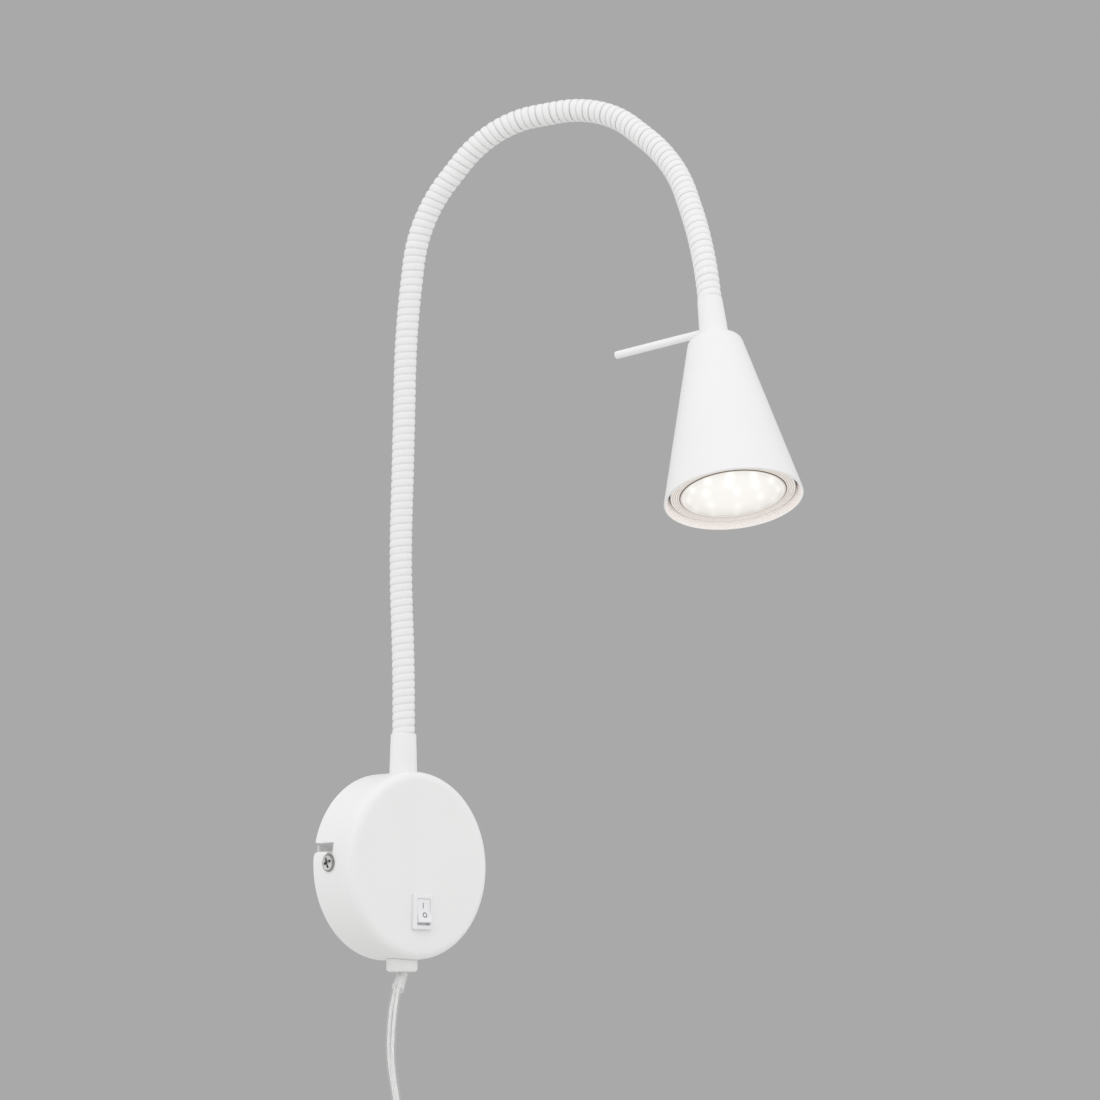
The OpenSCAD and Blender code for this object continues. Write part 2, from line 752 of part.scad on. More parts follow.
// Clear sleeve round the cord under the grommet, cut off at a slant
module cord_sleeve() {
    color("lightgray") bored_tube(sleeve_rings(sleeve_gap + sleeve_wall), sleeve_rings(sleeve_gap));
}
function sleeve_rings(grow) = [for (i = [0:sleeve_steps])
    let (at = sleeve_first + i)
    let (w = [cos(cord_turn[at]), sin(cord_turn[at]), 0])
    let (c = i == 0 ? cord_path[at] - [0, 0, part_gap] : cord_path[at])
    let (t = i == 0 ? [0, 0, -1] : heading_at(cord_path, at))
    let (ring = oval_ring(c, t, w, cord_w / 2 + grow, cord_t / 2 + grow, cord_sides))
    i < sleeve_steps ? ring : [for (p = ring) p + (p - c).x * sleeve_slant * t]];

// Flat cord along a list of points, with its wide side turned as w says
module cord(points, w, sides) {
    color("whitesmoke") ring_tube([for (i = [0:len(points) - 1])
        oval_ring(points[i], heading_at(points, i), w[i], cord_w / 2, cord_t / 2, sides)]);
}
cord_path = smooth(cord_route, 2);
cord_turn = smooth(cord_twist, 2);
module mains_cord() {
    cord(cord_path, [for (a = cord_turn) [cos(a), sin(a), 0]], cord_sides);
}
// Coil: in along one layer, up a layer in the half turn where it reverses, and out again
function coil_radius(t) = coil_r - coil_pitch * (t < coil_turns ? t : 2 * coil_turns - t);
function climb(t) = let (f = min(max(2 * (t - coil_turns) + 0.5, 0), 1)) f * f * (3 - 2 * f);
function coil_point(t) =
    let (r = coil_radius(t), a = 180 + 360 * t)
    [coil_x + r * cos(a), -arm_reach - coil_layer * climb(t), -coil_drop + r * sin(a)];
coil_path = concat(
    [coil_point(0) + [0, 0, coil_lead_in]],
    [for (i = [0:coil_steps]) coil_point(i / coil_rings)],
    [coil_point(2 * coil_turns) - [0, 0, coil_lead_in]]
);
coil_surface = [for (i = [0:len(coil_path) - 1])
    oval_ring(coil_path[i], coil_heading(i), [0, 1, 0], cord_w / 2, cord_t / 2, coil_sides)];
function coil_heading(i) =
    i == 0 || i == len(coil_path) - 1 ? [0, 0, -1] : heading_at(coil_path, i);
function ring_gap(a, b) = min([for (p = a, q = b) norm(p - q)]);
function coil_self_gap() = min([
    for (i = [0:2:len(coil_path) - 1], j = [i + coil_rings - 2:1:min(i + coil_rings + 2, len(coil_path) - 1)])
        ring_gap(coil_surface[i], coil_surface[j]),
    for (i = [0:2:coil_steps / 2 - coil_rings / 2], j = [coil_steps - i:1:coil_steps - i + 2])
        ring_gap(coil_surface[i], coil_surface[j])
]);
module cord_coil() {
    echo(least_gap_between_loops = coil_self_gap());
    color("whitesmoke") ring_tube(coil_surface);
}
tail_top = coil_path[len(coil_path) - 1];
module cord_tail() {
    p = [for (f = [0:0.25:1]) tail_top - [0, 0, f * tail_len]];
    cord(p, [for (q = p) [0, 1, 0]], cord_sides);
}
// Tie round all the loops, on the coil's far side from the cord's ends
module cord_tie() {
    inner_x = coil_x + coil_r - coil_pitch * (coil_turns - 0.5) - cord_t / 2 - 3 * part_gap;
    outer_x = coil_x + coil_r - coil_pitch / 2 + cord_t / 2 + part_gap;
    front_y = -arm_reach - coil_layer - cord_w / 2 - part_gap;
    back_y = -arm_reach + cord_w / 2 + part_gap;
    color("white") translate([0, 0, -coil_drop - tie_w / 2]) difference() {
        translate([inner_x - tie_t, front_y - tie_t, 0])
            cube([outer_x - inner_x + 2 * tie_t, back_y - front_y + 2 * tie_t, tie_w]);
        translate([inner_x, front_y, -past]) cube([outer_x - inner_x, back_y - front_y, tie_w + 2 * past]);
    }
}

// Plug, pins down, with the cord in its top
plug_top = tail_top - [0, 0, tail_len - plug_bore_depth];
module plug_body() {
    half = plug_w / 2;
    neck = plug_neck_w / 2;
    outline = [
        [-half, 0], [half, 0], [half, plug_nose], [2 * neck, plug_len - plug_shoulder], [neck, plug_len],
        [-neck, plug_len], [-2 * neck, plug_len - plug_shoulder], [-half, plug_nose]
    ];
    color("white") translate(plug_top - [0, 0, plug_len]) difference() {
        rotate([90, 0, 0]) translate([0, 0, -plug_t / 2]) linear_extrude(plug_t) polygon(outline);
        translate([0, 0, plug_len - plug_bore_depth]) cylinder(d = cord_bore_d, h = plug_bore_depth + past);
    }
}
module plug_pins() {
    color("silver") for (side = [-1, 1])
        translate(plug_top + [side * plug_pin_spacing / 2, 0, -plug_len - plug_pin_len])
            cylinder(d = plug_pin_d, h = plug_pin_len);
}

// Arm segment: a ribbed tube with a cup at its start and a ball at its end
module gooseneck(k) {
    first = k == 0;
    last = k == segments - 1;
    from = first ? weld : cup_top - weld;
    to = segment_len - (last ? weld : collar_z + collar_h - weld);
    rib_from = first ? rib_clear : cup_top + part_gap;
    rib_to = segment_len - (last ? rib_clear : collar_z + collar_h + part_gap);
    pitch = (rib_to - rib_from) / segment_ribs;
    outer = concat(
        [arm_ring(k, from, groove_r, rib_sides)],
        [for (i = [0:segment_ribs - 1]) each [
            arm_ring(k, rib_from + i * pitch, groove_r, rib_sides),
            arm_ring(k, rib_from + (i + 0.5) * pitch, arm_r, rib_sides)]],
        [arm_ring(k, rib_to, groove_r, rib_sides), arm_ring(k, to, groove_r, rib_sides)]
    );
    bore_ring_r = (bore_r + snug) / cos(180 / rib_sides);
    inner = [for (i = [0:bore_steps])
        arm_ring(k, from + (to - from) * i / bore_steps, bore_ring_r, rib_sides)];
    color("white") at_segment(k) union() {
        bored_tube(outer, inner);
        if (first) plain_end(-socket_depth + part_gap, 2 * weld);
        else cup();
        if (last) across_segment(k) plain_end(-2 * weld, socket_depth - part_gap);
        else across_segment(k) ball();
    }
}
module plain_end(from, to) {
    translate([0, 0, from]) bored_cylinder(plain_end_r, to - from);
}
module bored_cylinder(r, h) {
    difference() {
        cylinder(r = r, h = h);
        translate([0, 0, -past]) cylinder(r = bore_r, h = h + 2 * past);
    }
}
module cup() {
    difference() {
        translate([0, 0, -rim_z]) bored_cylinder(arm_r, rim_z + cup_top);
        sphere(cup_r);
    }
}
module ball() {
    difference() {
        union() {
            sphere(ball_r);
            translate([0, 0, -collar_z - weld]) cylinder(r = neck_r, h = collar_z + weld);
            translate([0, 0, -collar_z - collar_h]) cylinder(r = arm_r, h = collar_h);
        }
        translate([0, 0, -2 * arm_d]) cylinder(r = bore_r, h = 4 * arm_d);
    }
}

// Two-core lead in one arm segment, which ends in the next segment's cup
module arm_lead(k) {
    first = k == 0;
    last = k == segments - 1;
    from = first ? lead_start_z : lead_back;
    to = segment_len + (last ? head_ferrule_len + holder_z + lead_in_holder : lead_ahead);
    steps = ceil((to - from) / lead_step);
    color("gainsboro") at_segment(k) ring_tube([for (i = [0:steps])
        arm_ring(k, from + (to - from) * i / steps, lead_r, lead_sides)]);
}

// Head: ferrule, handle and shade
module head_ferrule() {
    color("white") at_shade() difference() {
        rotate([180, 0, 0]) ferrule(head_ferrule_len, head_ferrule_top_d, head_ferrule_foot_d, head_stud_end);
        at_handle() cylinder(r = handle_root_r + snug, h = head_ferrule_foot_d);
    }
}
module at_handle() {
    translate([0, 0, -handle_rise]) rotate([0, 90, handle_turn]) translate([0, 0, handle_start]) children();
}
module handle_rod() {
    out = handle_reach - handle_start;
    root = head_ferrule_foot_d / 2 + part_gap - handle_start;
    color("white") at_shade() at_handle() {
        cylinder(r = handle_root_r, h = root + weld);
        translate([0, 0, root]) cylinder(d = handle_d, h = out - root - handle_d / 2);
        translate([0, 0, out - handle_d / 2]) sphere(d = handle_d);
    }
}
module shade() {
    color("white") at_shade() difference() {
        rotate_extrude() polygon(concat(shade_line(0), shade_line_back(shade_wall)));
        translate([0, 0, -past]) cylinder(r = stud_r + part_gap, h = shade_edge_r);
    }
}
// Outline of the shade from its axis over the round top edge to its mouth
edge_x = shade_top_d / 2 - shade_edge_r * (1 - sin(shade_slope)) / cos(shade_slope);
edge_steps = 8;
function shade_edge(inset, i) =
    let (a = -90 + (90 - shade_slope) * i / edge_steps, r = shade_edge_r - inset)
    [edge_x + r * cos(a), shade_edge_r + r * sin(a)];
function shade_line(inset) = concat(
    [[0, inset]],
    [for (i = [0:edge_steps]) shade_edge(inset, i)],
    [[shade_r(shade_len) - inset / cos(shade_slope), shade_len]]
);
function shade_line_back(inset) =
    let (line = shade_line(inset)) [for (i = [len(line) - 1:-1:0]) line[i]];
function shade_r(z) = (shade_top_d + (shade_mouth_d - shade_top_d) * z / shade_len) / 2;

// Holder: a cup bracket under the nut, two screws and the holder with bayonet slots
module head_nut() {
    color("silver") at_shade() translate([0, 0, head_nut_z]) stud_nut();
}
module holder_bracket() {
    color("silver") at_shade() difference() {
        union() {
            translate([0, 0, shade_wall]) cylinder(r = cup_out_r, h = holder_z - shade_wall);
            translate([0, 0, holder_z - bracket_cup_t]) cylinder(r = bracket_flange_r, h = bracket_cup_t);
        }
        translate([0, 0, head_nut_z]) cylinder(r = cup_in_r, h = holder_z);
        cylinder(r = stud_r + snug, h = holder_z);
        at_holder_screws() translate([0, 0, -past])
            cylinder(d = holder_screw_d + 2 * snug, h = holder_screw_len);
    }
}
module at_holder_screws() {
    for (x = [-holder_screw_x, holder_screw_x])
        translate([x, 0, holder_z - bracket_cup_t]) children();
}
module holder_screws() {
    color("silver") at_shade() at_holder_screws()
        cross_screw(holder_screw_d, holder_screw_len, holder_screw_head_d, holder_screw_head_h);
}
module lamp_holder() {
    color("ivory") at_shade() difference() {
        translate([0, 0, holder_z]) cylinder(d = holder_d, h = holder_face_z - holder_z);
        translate([0, 0, holder_z - past]) cylinder(r = bore_r, h = holder_bore_depth + past);
        at_holder_screws() cylinder(d = holder_screw_d + 2 * snug, h = holder_screw_len + part_gap);
        // Room for the pins' heads behind the face
        translate([0, 0, cavity_top_z]) cylinder(r = (pin_spacing + pin_head_d) / 2 + 2 * part_gap,
            h = holder_face_z - holder_plate - cavity_top_z);
        for (half = [0, 180]) rotate([0, 0, half]) pin_slot();
    }
}
// Slot in the holder's face: a hole for a pin's head, and the way that its stem turns
module pin_slot() {
    half_w = pin_stem_d / 2 + part_gap;
    spare_turn = asin(2 * half_w / pin_spacing);
    translate([0, 0, holder_face_z - holder_plate - past]) {
        rotate([0, 0, -spare_turn]) rotate_extrude(angle = bulb_turn + spare_turn)
            translate([pin_spacing / 2 - half_w, 0]) square([2 * half_w, holder_plate + 2 * past]);
        rotate([0, 0, bulb_turn]) translate([pin_spacing / 2, 0, 0])
            cylinder(r = pin_head_d / 2 + part_gap, h = holder_plate + 2 * past);
    }
}
module holder_contacts() {
    color("gold") at_shade() for (half = [0, 180]) rotate([0, 0, half])
        translate([pin_spacing / 2, 0, cavity_top_z]) cube_about(contact_w, contact_w, 0, contact_t);
}

// Bulb: body, pins, board with its light chips, and lens
module bulb_body() {
    color("whitesmoke") at_shade() difference() {
        rotate_extrude() polygon([
            [0, bulb_base_z], [neck_r_of_bulb, bulb_base_z],
            [neck_r_of_bulb + bulb_bevel, bulb_base_z + bulb_neck_h],
            [bulb_r - bulb_waist, bulb_face_z - bulb_bowl_h], [bulb_lip_r, bulb_face_z - bulb_lip_h],
            [bulb_r, bulb_face_z - bulb_rim_h], [bulb_r, bulb_face_z - bulb_bevel],
            [bulb_r - bulb_bevel, bulb_face_z], [0, bulb_face_z]
        ]);
        translate([0, 0, bulb_face_z - bulb_cup_depth])
            cylinder(r = lens_r + part_gap, h = bulb_cup_depth + past);
    }
}
module bulb_pins() {
    color("silver") at_shade() for (x = [-pin_spacing / 2, pin_spacing / 2])
        translate([x, 0, bulb_base_z - part_gap - pin_in - pin_head_h]) {
            cylinder(d = pin_head_d, h = pin_head_h);
            cylinder(d = pin_stem_d, h = pin_in + pin_head_h + part_gap);
        }
}
module led_board() {
    color("white") at_shade() translate([0, 0, bulb_face_z - bulb_cup_depth])
        cylinder(r = lens_r, h = board_t);
}
module led_chips() {
    color("lightyellow") at_shade() translate([0, 0, bulb_face_z - bulb_cup_depth + board_t]) {
        cube_about(chip_w, chip_w, 0, chip_t);
        chip_circle(chips_inner, chips_inner_r);
        chip_circle(chips_outer, chips_outer_r);
    }
}
module chip_circle(count, r) {
    for (i = [0:count - 1]) rotate([0, 0, 360 * i / count]) translate([r, 0, 0])
        cube_about(chip_w, chip_w, 0, chip_t);
}
module bulb_lens() {
    bottom = bulb_face_z - bulb_cup_depth + board_t;
    color("lightcyan") at_shade() difference() {
        translate([0, 0, bottom]) cylinder(r = lens_r, h = bulb_face_z - lens_set - bottom);
        translate([0, 0, bottom - past])
            cylinder(r = lens_r - lens_skirt, h = bulb_face_z - lens_set - lens_t - bottom + past);
    }
}

wall_bracket();
canopy();
canopy_screws();
arm_ferrule();
arm_washer();
arm_nut();
switch_housing();
switch_terminals();
switch_rocker();
terminal_block();
terminal_screws();
block_screw();
lead_cores();
live_wire();
switched_wire();
neutral_wire();
cord_grommet();
cord_stop();
cord_sleeve();
mains_cord();
cord_coil();
cord_tail();
cord_tie();
plug_body();
plug_pins();
for (k = [0:segments - 1]) {
    gooseneck(k);
    arm_lead(k);
}
head_ferrule();
head_nut();
shade();
handle_rod();
holder_bracket();
holder_screws();
lamp_holder();
holder_contacts();
bulb_body();
bulb_pins();
led_board();
led_chips();
bulb_lens();
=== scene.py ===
# %% [markdown]
# # A wall lamp with a bendable neck
#
# The real lamp is a shallow enamelled canopy that hooks over a bracket on the wall, a ribbed steel
# hose that keeps the bend it is given, and a spun cone with a reflector bulb. A clear twin cord
# leaves the canopy below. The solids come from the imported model, in metres and in their places, and
# this lesson dresses them. Most pieces are surfaces worked out with numpy in millimetres.

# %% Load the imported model
import json
import math

import bpy
import numpy as np
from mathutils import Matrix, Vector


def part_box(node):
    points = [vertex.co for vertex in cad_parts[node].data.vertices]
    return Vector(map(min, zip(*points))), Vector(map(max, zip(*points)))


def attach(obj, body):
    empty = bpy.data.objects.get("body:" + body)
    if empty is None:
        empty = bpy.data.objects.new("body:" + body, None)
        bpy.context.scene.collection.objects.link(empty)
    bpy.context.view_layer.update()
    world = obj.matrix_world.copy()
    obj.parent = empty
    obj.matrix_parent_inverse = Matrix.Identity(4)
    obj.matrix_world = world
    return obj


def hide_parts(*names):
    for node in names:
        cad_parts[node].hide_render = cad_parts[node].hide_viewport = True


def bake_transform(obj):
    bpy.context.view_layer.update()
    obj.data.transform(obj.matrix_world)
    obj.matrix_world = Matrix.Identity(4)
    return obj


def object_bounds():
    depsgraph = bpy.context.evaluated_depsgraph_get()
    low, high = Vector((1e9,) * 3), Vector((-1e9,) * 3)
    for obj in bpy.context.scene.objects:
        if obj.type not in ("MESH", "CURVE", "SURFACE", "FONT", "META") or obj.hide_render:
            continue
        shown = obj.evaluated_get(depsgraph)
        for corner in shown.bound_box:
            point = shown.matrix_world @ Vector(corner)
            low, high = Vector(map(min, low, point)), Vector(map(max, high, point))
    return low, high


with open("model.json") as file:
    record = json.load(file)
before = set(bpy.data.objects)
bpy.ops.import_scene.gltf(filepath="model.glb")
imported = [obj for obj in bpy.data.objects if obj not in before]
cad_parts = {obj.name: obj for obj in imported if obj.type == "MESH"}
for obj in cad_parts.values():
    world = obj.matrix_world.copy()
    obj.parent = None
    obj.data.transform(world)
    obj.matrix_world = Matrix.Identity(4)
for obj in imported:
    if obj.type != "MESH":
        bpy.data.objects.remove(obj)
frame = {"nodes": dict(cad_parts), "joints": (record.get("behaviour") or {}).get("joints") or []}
cad_box = [list(corner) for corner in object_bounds()]
scene = bpy.context.scene
scene.view_settings.view_transform = "Standard"
MM = 0.001

# %% [markdown]
# ## Camera
#
# The photograph looks at the lamp from the front left and a little from below. A camera can be aimed
# by hand until the picture fits; here its place, heading, pitch and focal length were solved from the
# canopy's outline, the shade's mouth and the plumb line of the neck, so they are plain numbers.

# %% Camera at the photograph's viewpoint
PHOTO_PX, FOCAL_PX, SENSOR_MM = 1100, 3137, 36
HEADING, PITCH = 44.702, 8.659
CAMERA_SPOT = np.array([-905.5, -1016.9, -68.6])
lens = bpy.data.cameras.new("photo_camera")
lens.sensor_width = SENSOR_MM
lens.lens = SENSOR_MM * FOCAL_PX / PHOTO_PX
camera = bpy.data.objects.new("photo_camera", lens)
scene.collection.objects.link(camera)
camera.location = CAMERA_SPOT * MM
camera.rotation_euler = (math.radians(90 + PITCH), 0, -math.radians(HEADING))
scene.camera = camera
print("focal length", round(lens.lens, 2), "mm")

# %% [markdown]
# ## From a grid of points to a mesh
#
# Turned, swept and lofted pieces are all grids: rows along the piece, columns round it. One function
# joins a grid's neighbours into faces, closes a row that shrinks to a point as a pole, and closes a
# profile that comes back to its start. Another puts the result into a mesh with a single call for
# each list, which is much quicker than adding points one at a time.

# %% Faces of a grid
TINY = 1e-9


def skin(grid, keep=None):
    """Points and faces of a grid (rows, columns, 3). Face (i, j) joins rows i, i + 1 and columns
    j, j + 1, and the last column joins the first. A triangle has -1 as its fourth corner."""
    rows, columns = grid.shape[:2]
    index = np.arange(rows * columns).reshape(rows, columns)
    for end in (0, rows - 1):
        if np.ptp(grid[end], axis=0).max() < TINY:
            index[end] = index[end, 0]
    if np.allclose(grid[0], grid[-1]):
        index[-1] = index[0]
    across = np.roll(index, -1, axis=1)
    quads = np.stack([index[:-1], across[:-1], across[1:], index[1:]], axis=-1)
    faces = (quads.reshape(-1, 4) if keep is None else quads[keep]).copy()
    low_pole = faces[:, 0] == faces[:, 1]
    faces[low_pole, 1:3] = faces[low_pole, 2:4]
    faces[low_pole | (faces[:, 2] == faces[:, 3]), 3] = -1
    used, renumbered = np.unique(faces[faces >= 0], return_inverse=True)
    faces[faces >= 0] = renumbered.ravel()
    return grid.reshape(-1, 3)[used], faces


print("faces of a grid of 3 rows and 8 columns:", len(skin(np.arange(72.0).reshape(3, 8, 3))[1]))


# %% A finished piece
def piece(name, grids, finishes, body=None, stands_for=(), crease=35, keep=None):
    """One object at the origin from one or more grids in mm, each with its finish. Edges that turn
    by more than the crease angle are shaded sharp."""
    grids = grids if isinstance(grids, list) else [grids]
    finishes = finishes if isinstance(finishes, list) else [finishes] * len(grids)
    skins = [skin(grid, keep) for grid in grids]
    starts = np.cumsum([0] + [len(points) for points, _ in skins[:-1]])
    points = np.vstack([points for points, _ in skins]) * MM
    faces = np.vstack([np.where(f >= 0, f + start, -1) for (_, f), start in zip(skins, starts)])
    corners = (faces >= 0).sum(axis=1)
    mesh = bpy.data.meshes.new(name)
    mesh.vertices.add(len(points))
    mesh.loops.add(int(corners.sum()))
    mesh.polygons.add(len(faces))
    mesh.vertices.foreach_set("co", points.astype(np.float32).ravel())
    mesh.loops.foreach_set("vertex_index", faces[faces >= 0].astype(np.int32))
    mesh.polygons.foreach_set("loop_start", (np.cumsum(corners) - corners).astype(np.int32))
    kinds = list(dict.fromkeys(finishes))
    for kind in kinds:
        mesh.materials.append(kind)
    which = np.repeat([kinds.index(f) for f in finishes], [len(f) for _, f in skins])
    mesh.polygons.foreach_set("material_index", which.astype(np.int32))
    mesh.polygons.foreach_set("use_smooth", np.ones(len(faces), dtype=bool))
    mesh.update(calc_edges=True)
    mesh.set_sharp_from_angle(angle=math.radians(crease))
    made = bpy.data.objects.new(name, mesh)
    scene.collection.objects.link(made)
    if body:
        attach(made, body)
    if stands_for:
        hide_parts(*stands_for)
    print(f"{name}: {len(points)} points, {len(faces)} faces")
    return made


# %% Points of a piece and values on them
def own_points(made, place):
    """A piece's points in the axes of one of its places, in mm."""
    co = np.zeros(len(made.data.vertices) * 3)
    made.data.vertices.foreach_get("co", co)
    return (co.reshape(-1, 3) / MM - place[0]) @ place[1]


def shade_value(made, name, value):
    """Writes one number on each point of a piece for its material to read."""
    layer = made.data.attributes.new(name, "FLOAT", "POINT")
    layer.data.foreach_set("value", value.astype(np.float32))


def box_mm(name):
    """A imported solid's lowest and highest corners in mm."""
    return np.array(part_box(name)) / MM


print("depth of the packed canopy:", round(float(np.ptp(box_mm("canopy")[:, 1])), 1), "mm")

# %% [markdown]
# ## Profiles, turned pieces and swept pieces
#
# Factory parts have no perfectly sharp corner, so outlines are written as corners with a radius.
# Turning carries an outline round an axis, as a lathe does; sweeping carries it along a line, as an
# extruder does.

# %% Outlines and lines
def unit(v):
    """Each vector divided by its length."""
    return v / np.linalg.norm(v, axis=-1, keepdims=True)


def rounded(corners, steps=5):
    """Line through corners (x, y, radius). A corner with a radius becomes an arc that meets both
    sides: its middle lies on the bisector, radius / sin(half the corner's angle) from the corner."""
    corners = np.asarray(corners, float)
    spots = corners[:, :2]
    line = []
    for i, radius in enumerate(corners[:, 2]):
        if radius == 0:
            line.append(spots[i : i + 1])
            continue
        before, after = unit(spots[[i - 1, (i + 1) % len(spots)]] - spots[i])
        half = math.acos(np.clip(before @ after, -1, 1)) / 2
        middle = spots[i] + unit(before + after) * radius / math.sin(half)
        first, last = spots[i] + np.array([before, after]) * radius / math.tan(half) - middle
        whole = math.pi - 2 * half
        f = np.linspace(0, 1, steps + 1)[:, None] * whole
        line.append(middle + (np.sin(whole - f) * first + np.sin(f) * last) / math.sin(whole))
    return np.vstack(line)


def through(points, steps):
    """Smooth line through points: on each span the cubic whose slope at a point is half the step from
    the point before it to the point after it."""
    p = np.asarray(points, float)
    ends = np.vstack([2 * p[0] - p[1], p, 2 * p[-1] - p[-2]])
    a, b, c, d = (ends[i : len(ends) - 3 + i, None] for i in range(4))
    t = (np.arange(steps) / steps)[None, :, None]
    bow, twirl = 2 * a - 5 * b + 4 * c - d, 3 * b - a - 3 * c + d
    curve = b + (c - a) * t / 2 + bow * t**2 / 2 + twirl * t**3 / 2
    return np.vstack([curve.reshape(-1, p.shape[1]), p[-1:]])


print("a rounded square has", len(rounded([(0, 0, 1), (9, 0, 1), (9, 9, 1), (0, 9, 1)])), "points")

# %% Turned and swept grids
def upright(*origin):
    """A place with the lamp's own axes."""
    return np.array(origin, float), np.eye(3)


PLAIN = upright(0, 0, 0)


def all_round(count):
    """Even angles once round, from 0."""
    return 2 * np.pi * np.arange(count) / count


def circle(radius, sides):
    """Points (r cos a, r sin a) all the way round."""
    angle = all_round(sides)
    return radius * np.stack([np.cos(angle), np.sin(angle)], -1)


def turn_z(a):
    """Rotation about the third axis."""
    return np.array([[math.cos(a), -math.sin(a), 0], [math.sin(a), math.cos(a), 0], [0, 0, 1]])


def placed(grid, place):
    """Points carried from a piece's own axes to the lamp's: origin + x axis 1 + y axis 2 + z axis 3."""
    origin, axes = place
    return origin + grid @ np.asarray(axes).T


def turned(profile, sides=96, place=PLAIN):
    """Outline (radius, height) turned round the third axis: (r cos a, r sin a, h)."""
    angle = all_round(sides)
    r, h = np.asarray(profile, float).T
    rings = [np.outer(r, np.cos(angle)), np.outer(r, np.sin(angle)), np.outer(h, np.ones(sides))]
    return placed(np.stack(rings, -1), place)


def swept(line, wide, outline):
    """Outline carried along a line: point = line + x * wide + y * (heading x wide)."""
    heading = unit(np.gradient(line, axis=0))
    wide = unit(wide - (wide * heading).sum(-1, keepdims=True) * heading)
    thick = np.cross(heading, wide)
    outline = np.broadcast_to(outline, (len(line),) + outline.shape[-2:])
    return line[:, None] + outline[..., :1] * wide[:, None] + outline[..., 1:] * thick[:, None]


def capped(grid):
    """The grid with a pole at the middle of its first and of its last ring."""
    ends = [np.broadcast_to(ring.mean(0), ring.shape)[None] for ring in (grid[0], grid[-1])]
    return np.concatenate([ends[0], grid, ends[1]])


print("a turned washer is a grid of", turned([(5, 0), (9, 0), (9, 1), (5, 1), (5, 0)]).shape)

# %% [markdown]
# ## Finishes: how a material is put together
#
# A material is a small graph of nodes. One function adds a node, sets what is plain and links what
# comes from another node. Colours are written as the sRGB hex values that a paint chart gives and
# turned into the linear numbers that the renderer works with. Patterns read Object coordinates, which
# are metres here, so a grain of d millimetres has the scale 1000 / d. Most factory finishes are one
# colour that wanders a little, with a gloss that wanders too, so one recipe makes those.

# %% Nodes and colours
def colour(code):
    """sRGB hex to linear: c / 12.92 below 0.04045, else ((c + 0.055) / 1.055) ** 2.4."""
    c = np.array([int(code[i : i + 2], 16) for i in (1, 3, 5)]) / 255
    return (*np.where(c <= 0.04045, c / 12.92, ((c + 0.055) / 1.055) ** 2.4), 1.0)


def node(tree, kind, sockets=None, **settings):
    """Add a node with its settings; a socket is set to a plain value or linked to an output."""
    made = tree.nodes.new("ShaderNode" + kind)
    for name, value in settings.items():
        setattr(made, name, value)
    for name, value in (sockets or {}).items():
        if isinstance(value, bpy.types.NodeSocket):
            tree.links.new(value, made.inputs[name])
        else:
            made.inputs[name].default_value = value
    return made


def blank(name):
    """A new material and its empty node tree."""
    made = bpy.data.materials.new(name)
    made.use_nodes = True
    made.node_tree.nodes.clear()
    return made, made.node_tree


def grain(mm):
    """Noise scale for a pattern with features of this many millimetres."""
    return 1 / (mm * MM)


print("white paint, linear:", [round(c, 3) for c in colour("#F1F1EF")[:3]])

# %% A mottled finish
POLYMER = {"IOR": 1.53}


def mottled(name, dark, light, patch, rough, detail=2.0, painted_shade=None, tooth=None, sockets=POLYMER):
    """A material that wanders between two colours over patches of so many mm, and between two
    roughnesses if it gets a pair. A painted shade, the name of a value on the points and a colour, is
    mixed in where the value is high. Tooth, a grain in mm, a strength and a depth in mm, is a fine bump."""
    made, tree = blank(name)
    spot = node(tree, "TexCoord").outputs["Object"]
    wander = node(tree, "TexNoise", {"Vector": spot, "Scale": grain(patch), "Detail": detail})
    wander = wander.outputs["Fac"]
    tint = node(tree, "Mix", {0: wander, 6: colour(dark), 7: colour(light)}, data_type="RGBA")
    look = {"Roughness": rough, **sockets}
    if painted_shade:
        amount = node(tree, "Attribute", attribute_name=painted_shade[0]).outputs["Fac"]
        tint = node(tree, "Mix", {0: amount, 6: tint.outputs[2], 7: colour(painted_shade[1])}, data_type="RGBA")
    if isinstance(rough, tuple):
        gloss = node(tree, "MapRange", {"Value": wander, "To Min": rough[0], "To Max": rough[1]})
        look["Roughness"] = gloss.outputs["Result"]
    if tooth:
        size, strength, depth = tooth
        fine = node(tree, "TexNoise", {"Vector": spot, "Scale": grain(size), "Detail": 2.0})
        bump = {"Height": fine.outputs["Fac"], "Strength": strength, "Distance": depth * MM}
        look["Normal"] = node(tree, "Bump", bump).outputs["Normal"]
    shader = node(tree, "BsdfPrincipled", {"Base Color": tint.outputs[2], **look})
    node(tree, "OutputMaterial", {"Surface": shader.outputs["BSDF"]})
    print("finish:", name)
    return made


# %% [markdown]
# ## Clear soft PVC and tinned copper
#
# The cord is extruded clear PVC over two bundles of fine tinned copper wires. The wall is under a
# millimetre thick and a little cloudy, so it hardly bends light, and the wires show through as bright
# silvery bundles. A glass shader would swallow too much light in so many thin walls. An alpha lets the
# light straight through instead, and the rest of the shader gives the haze and the gloss.

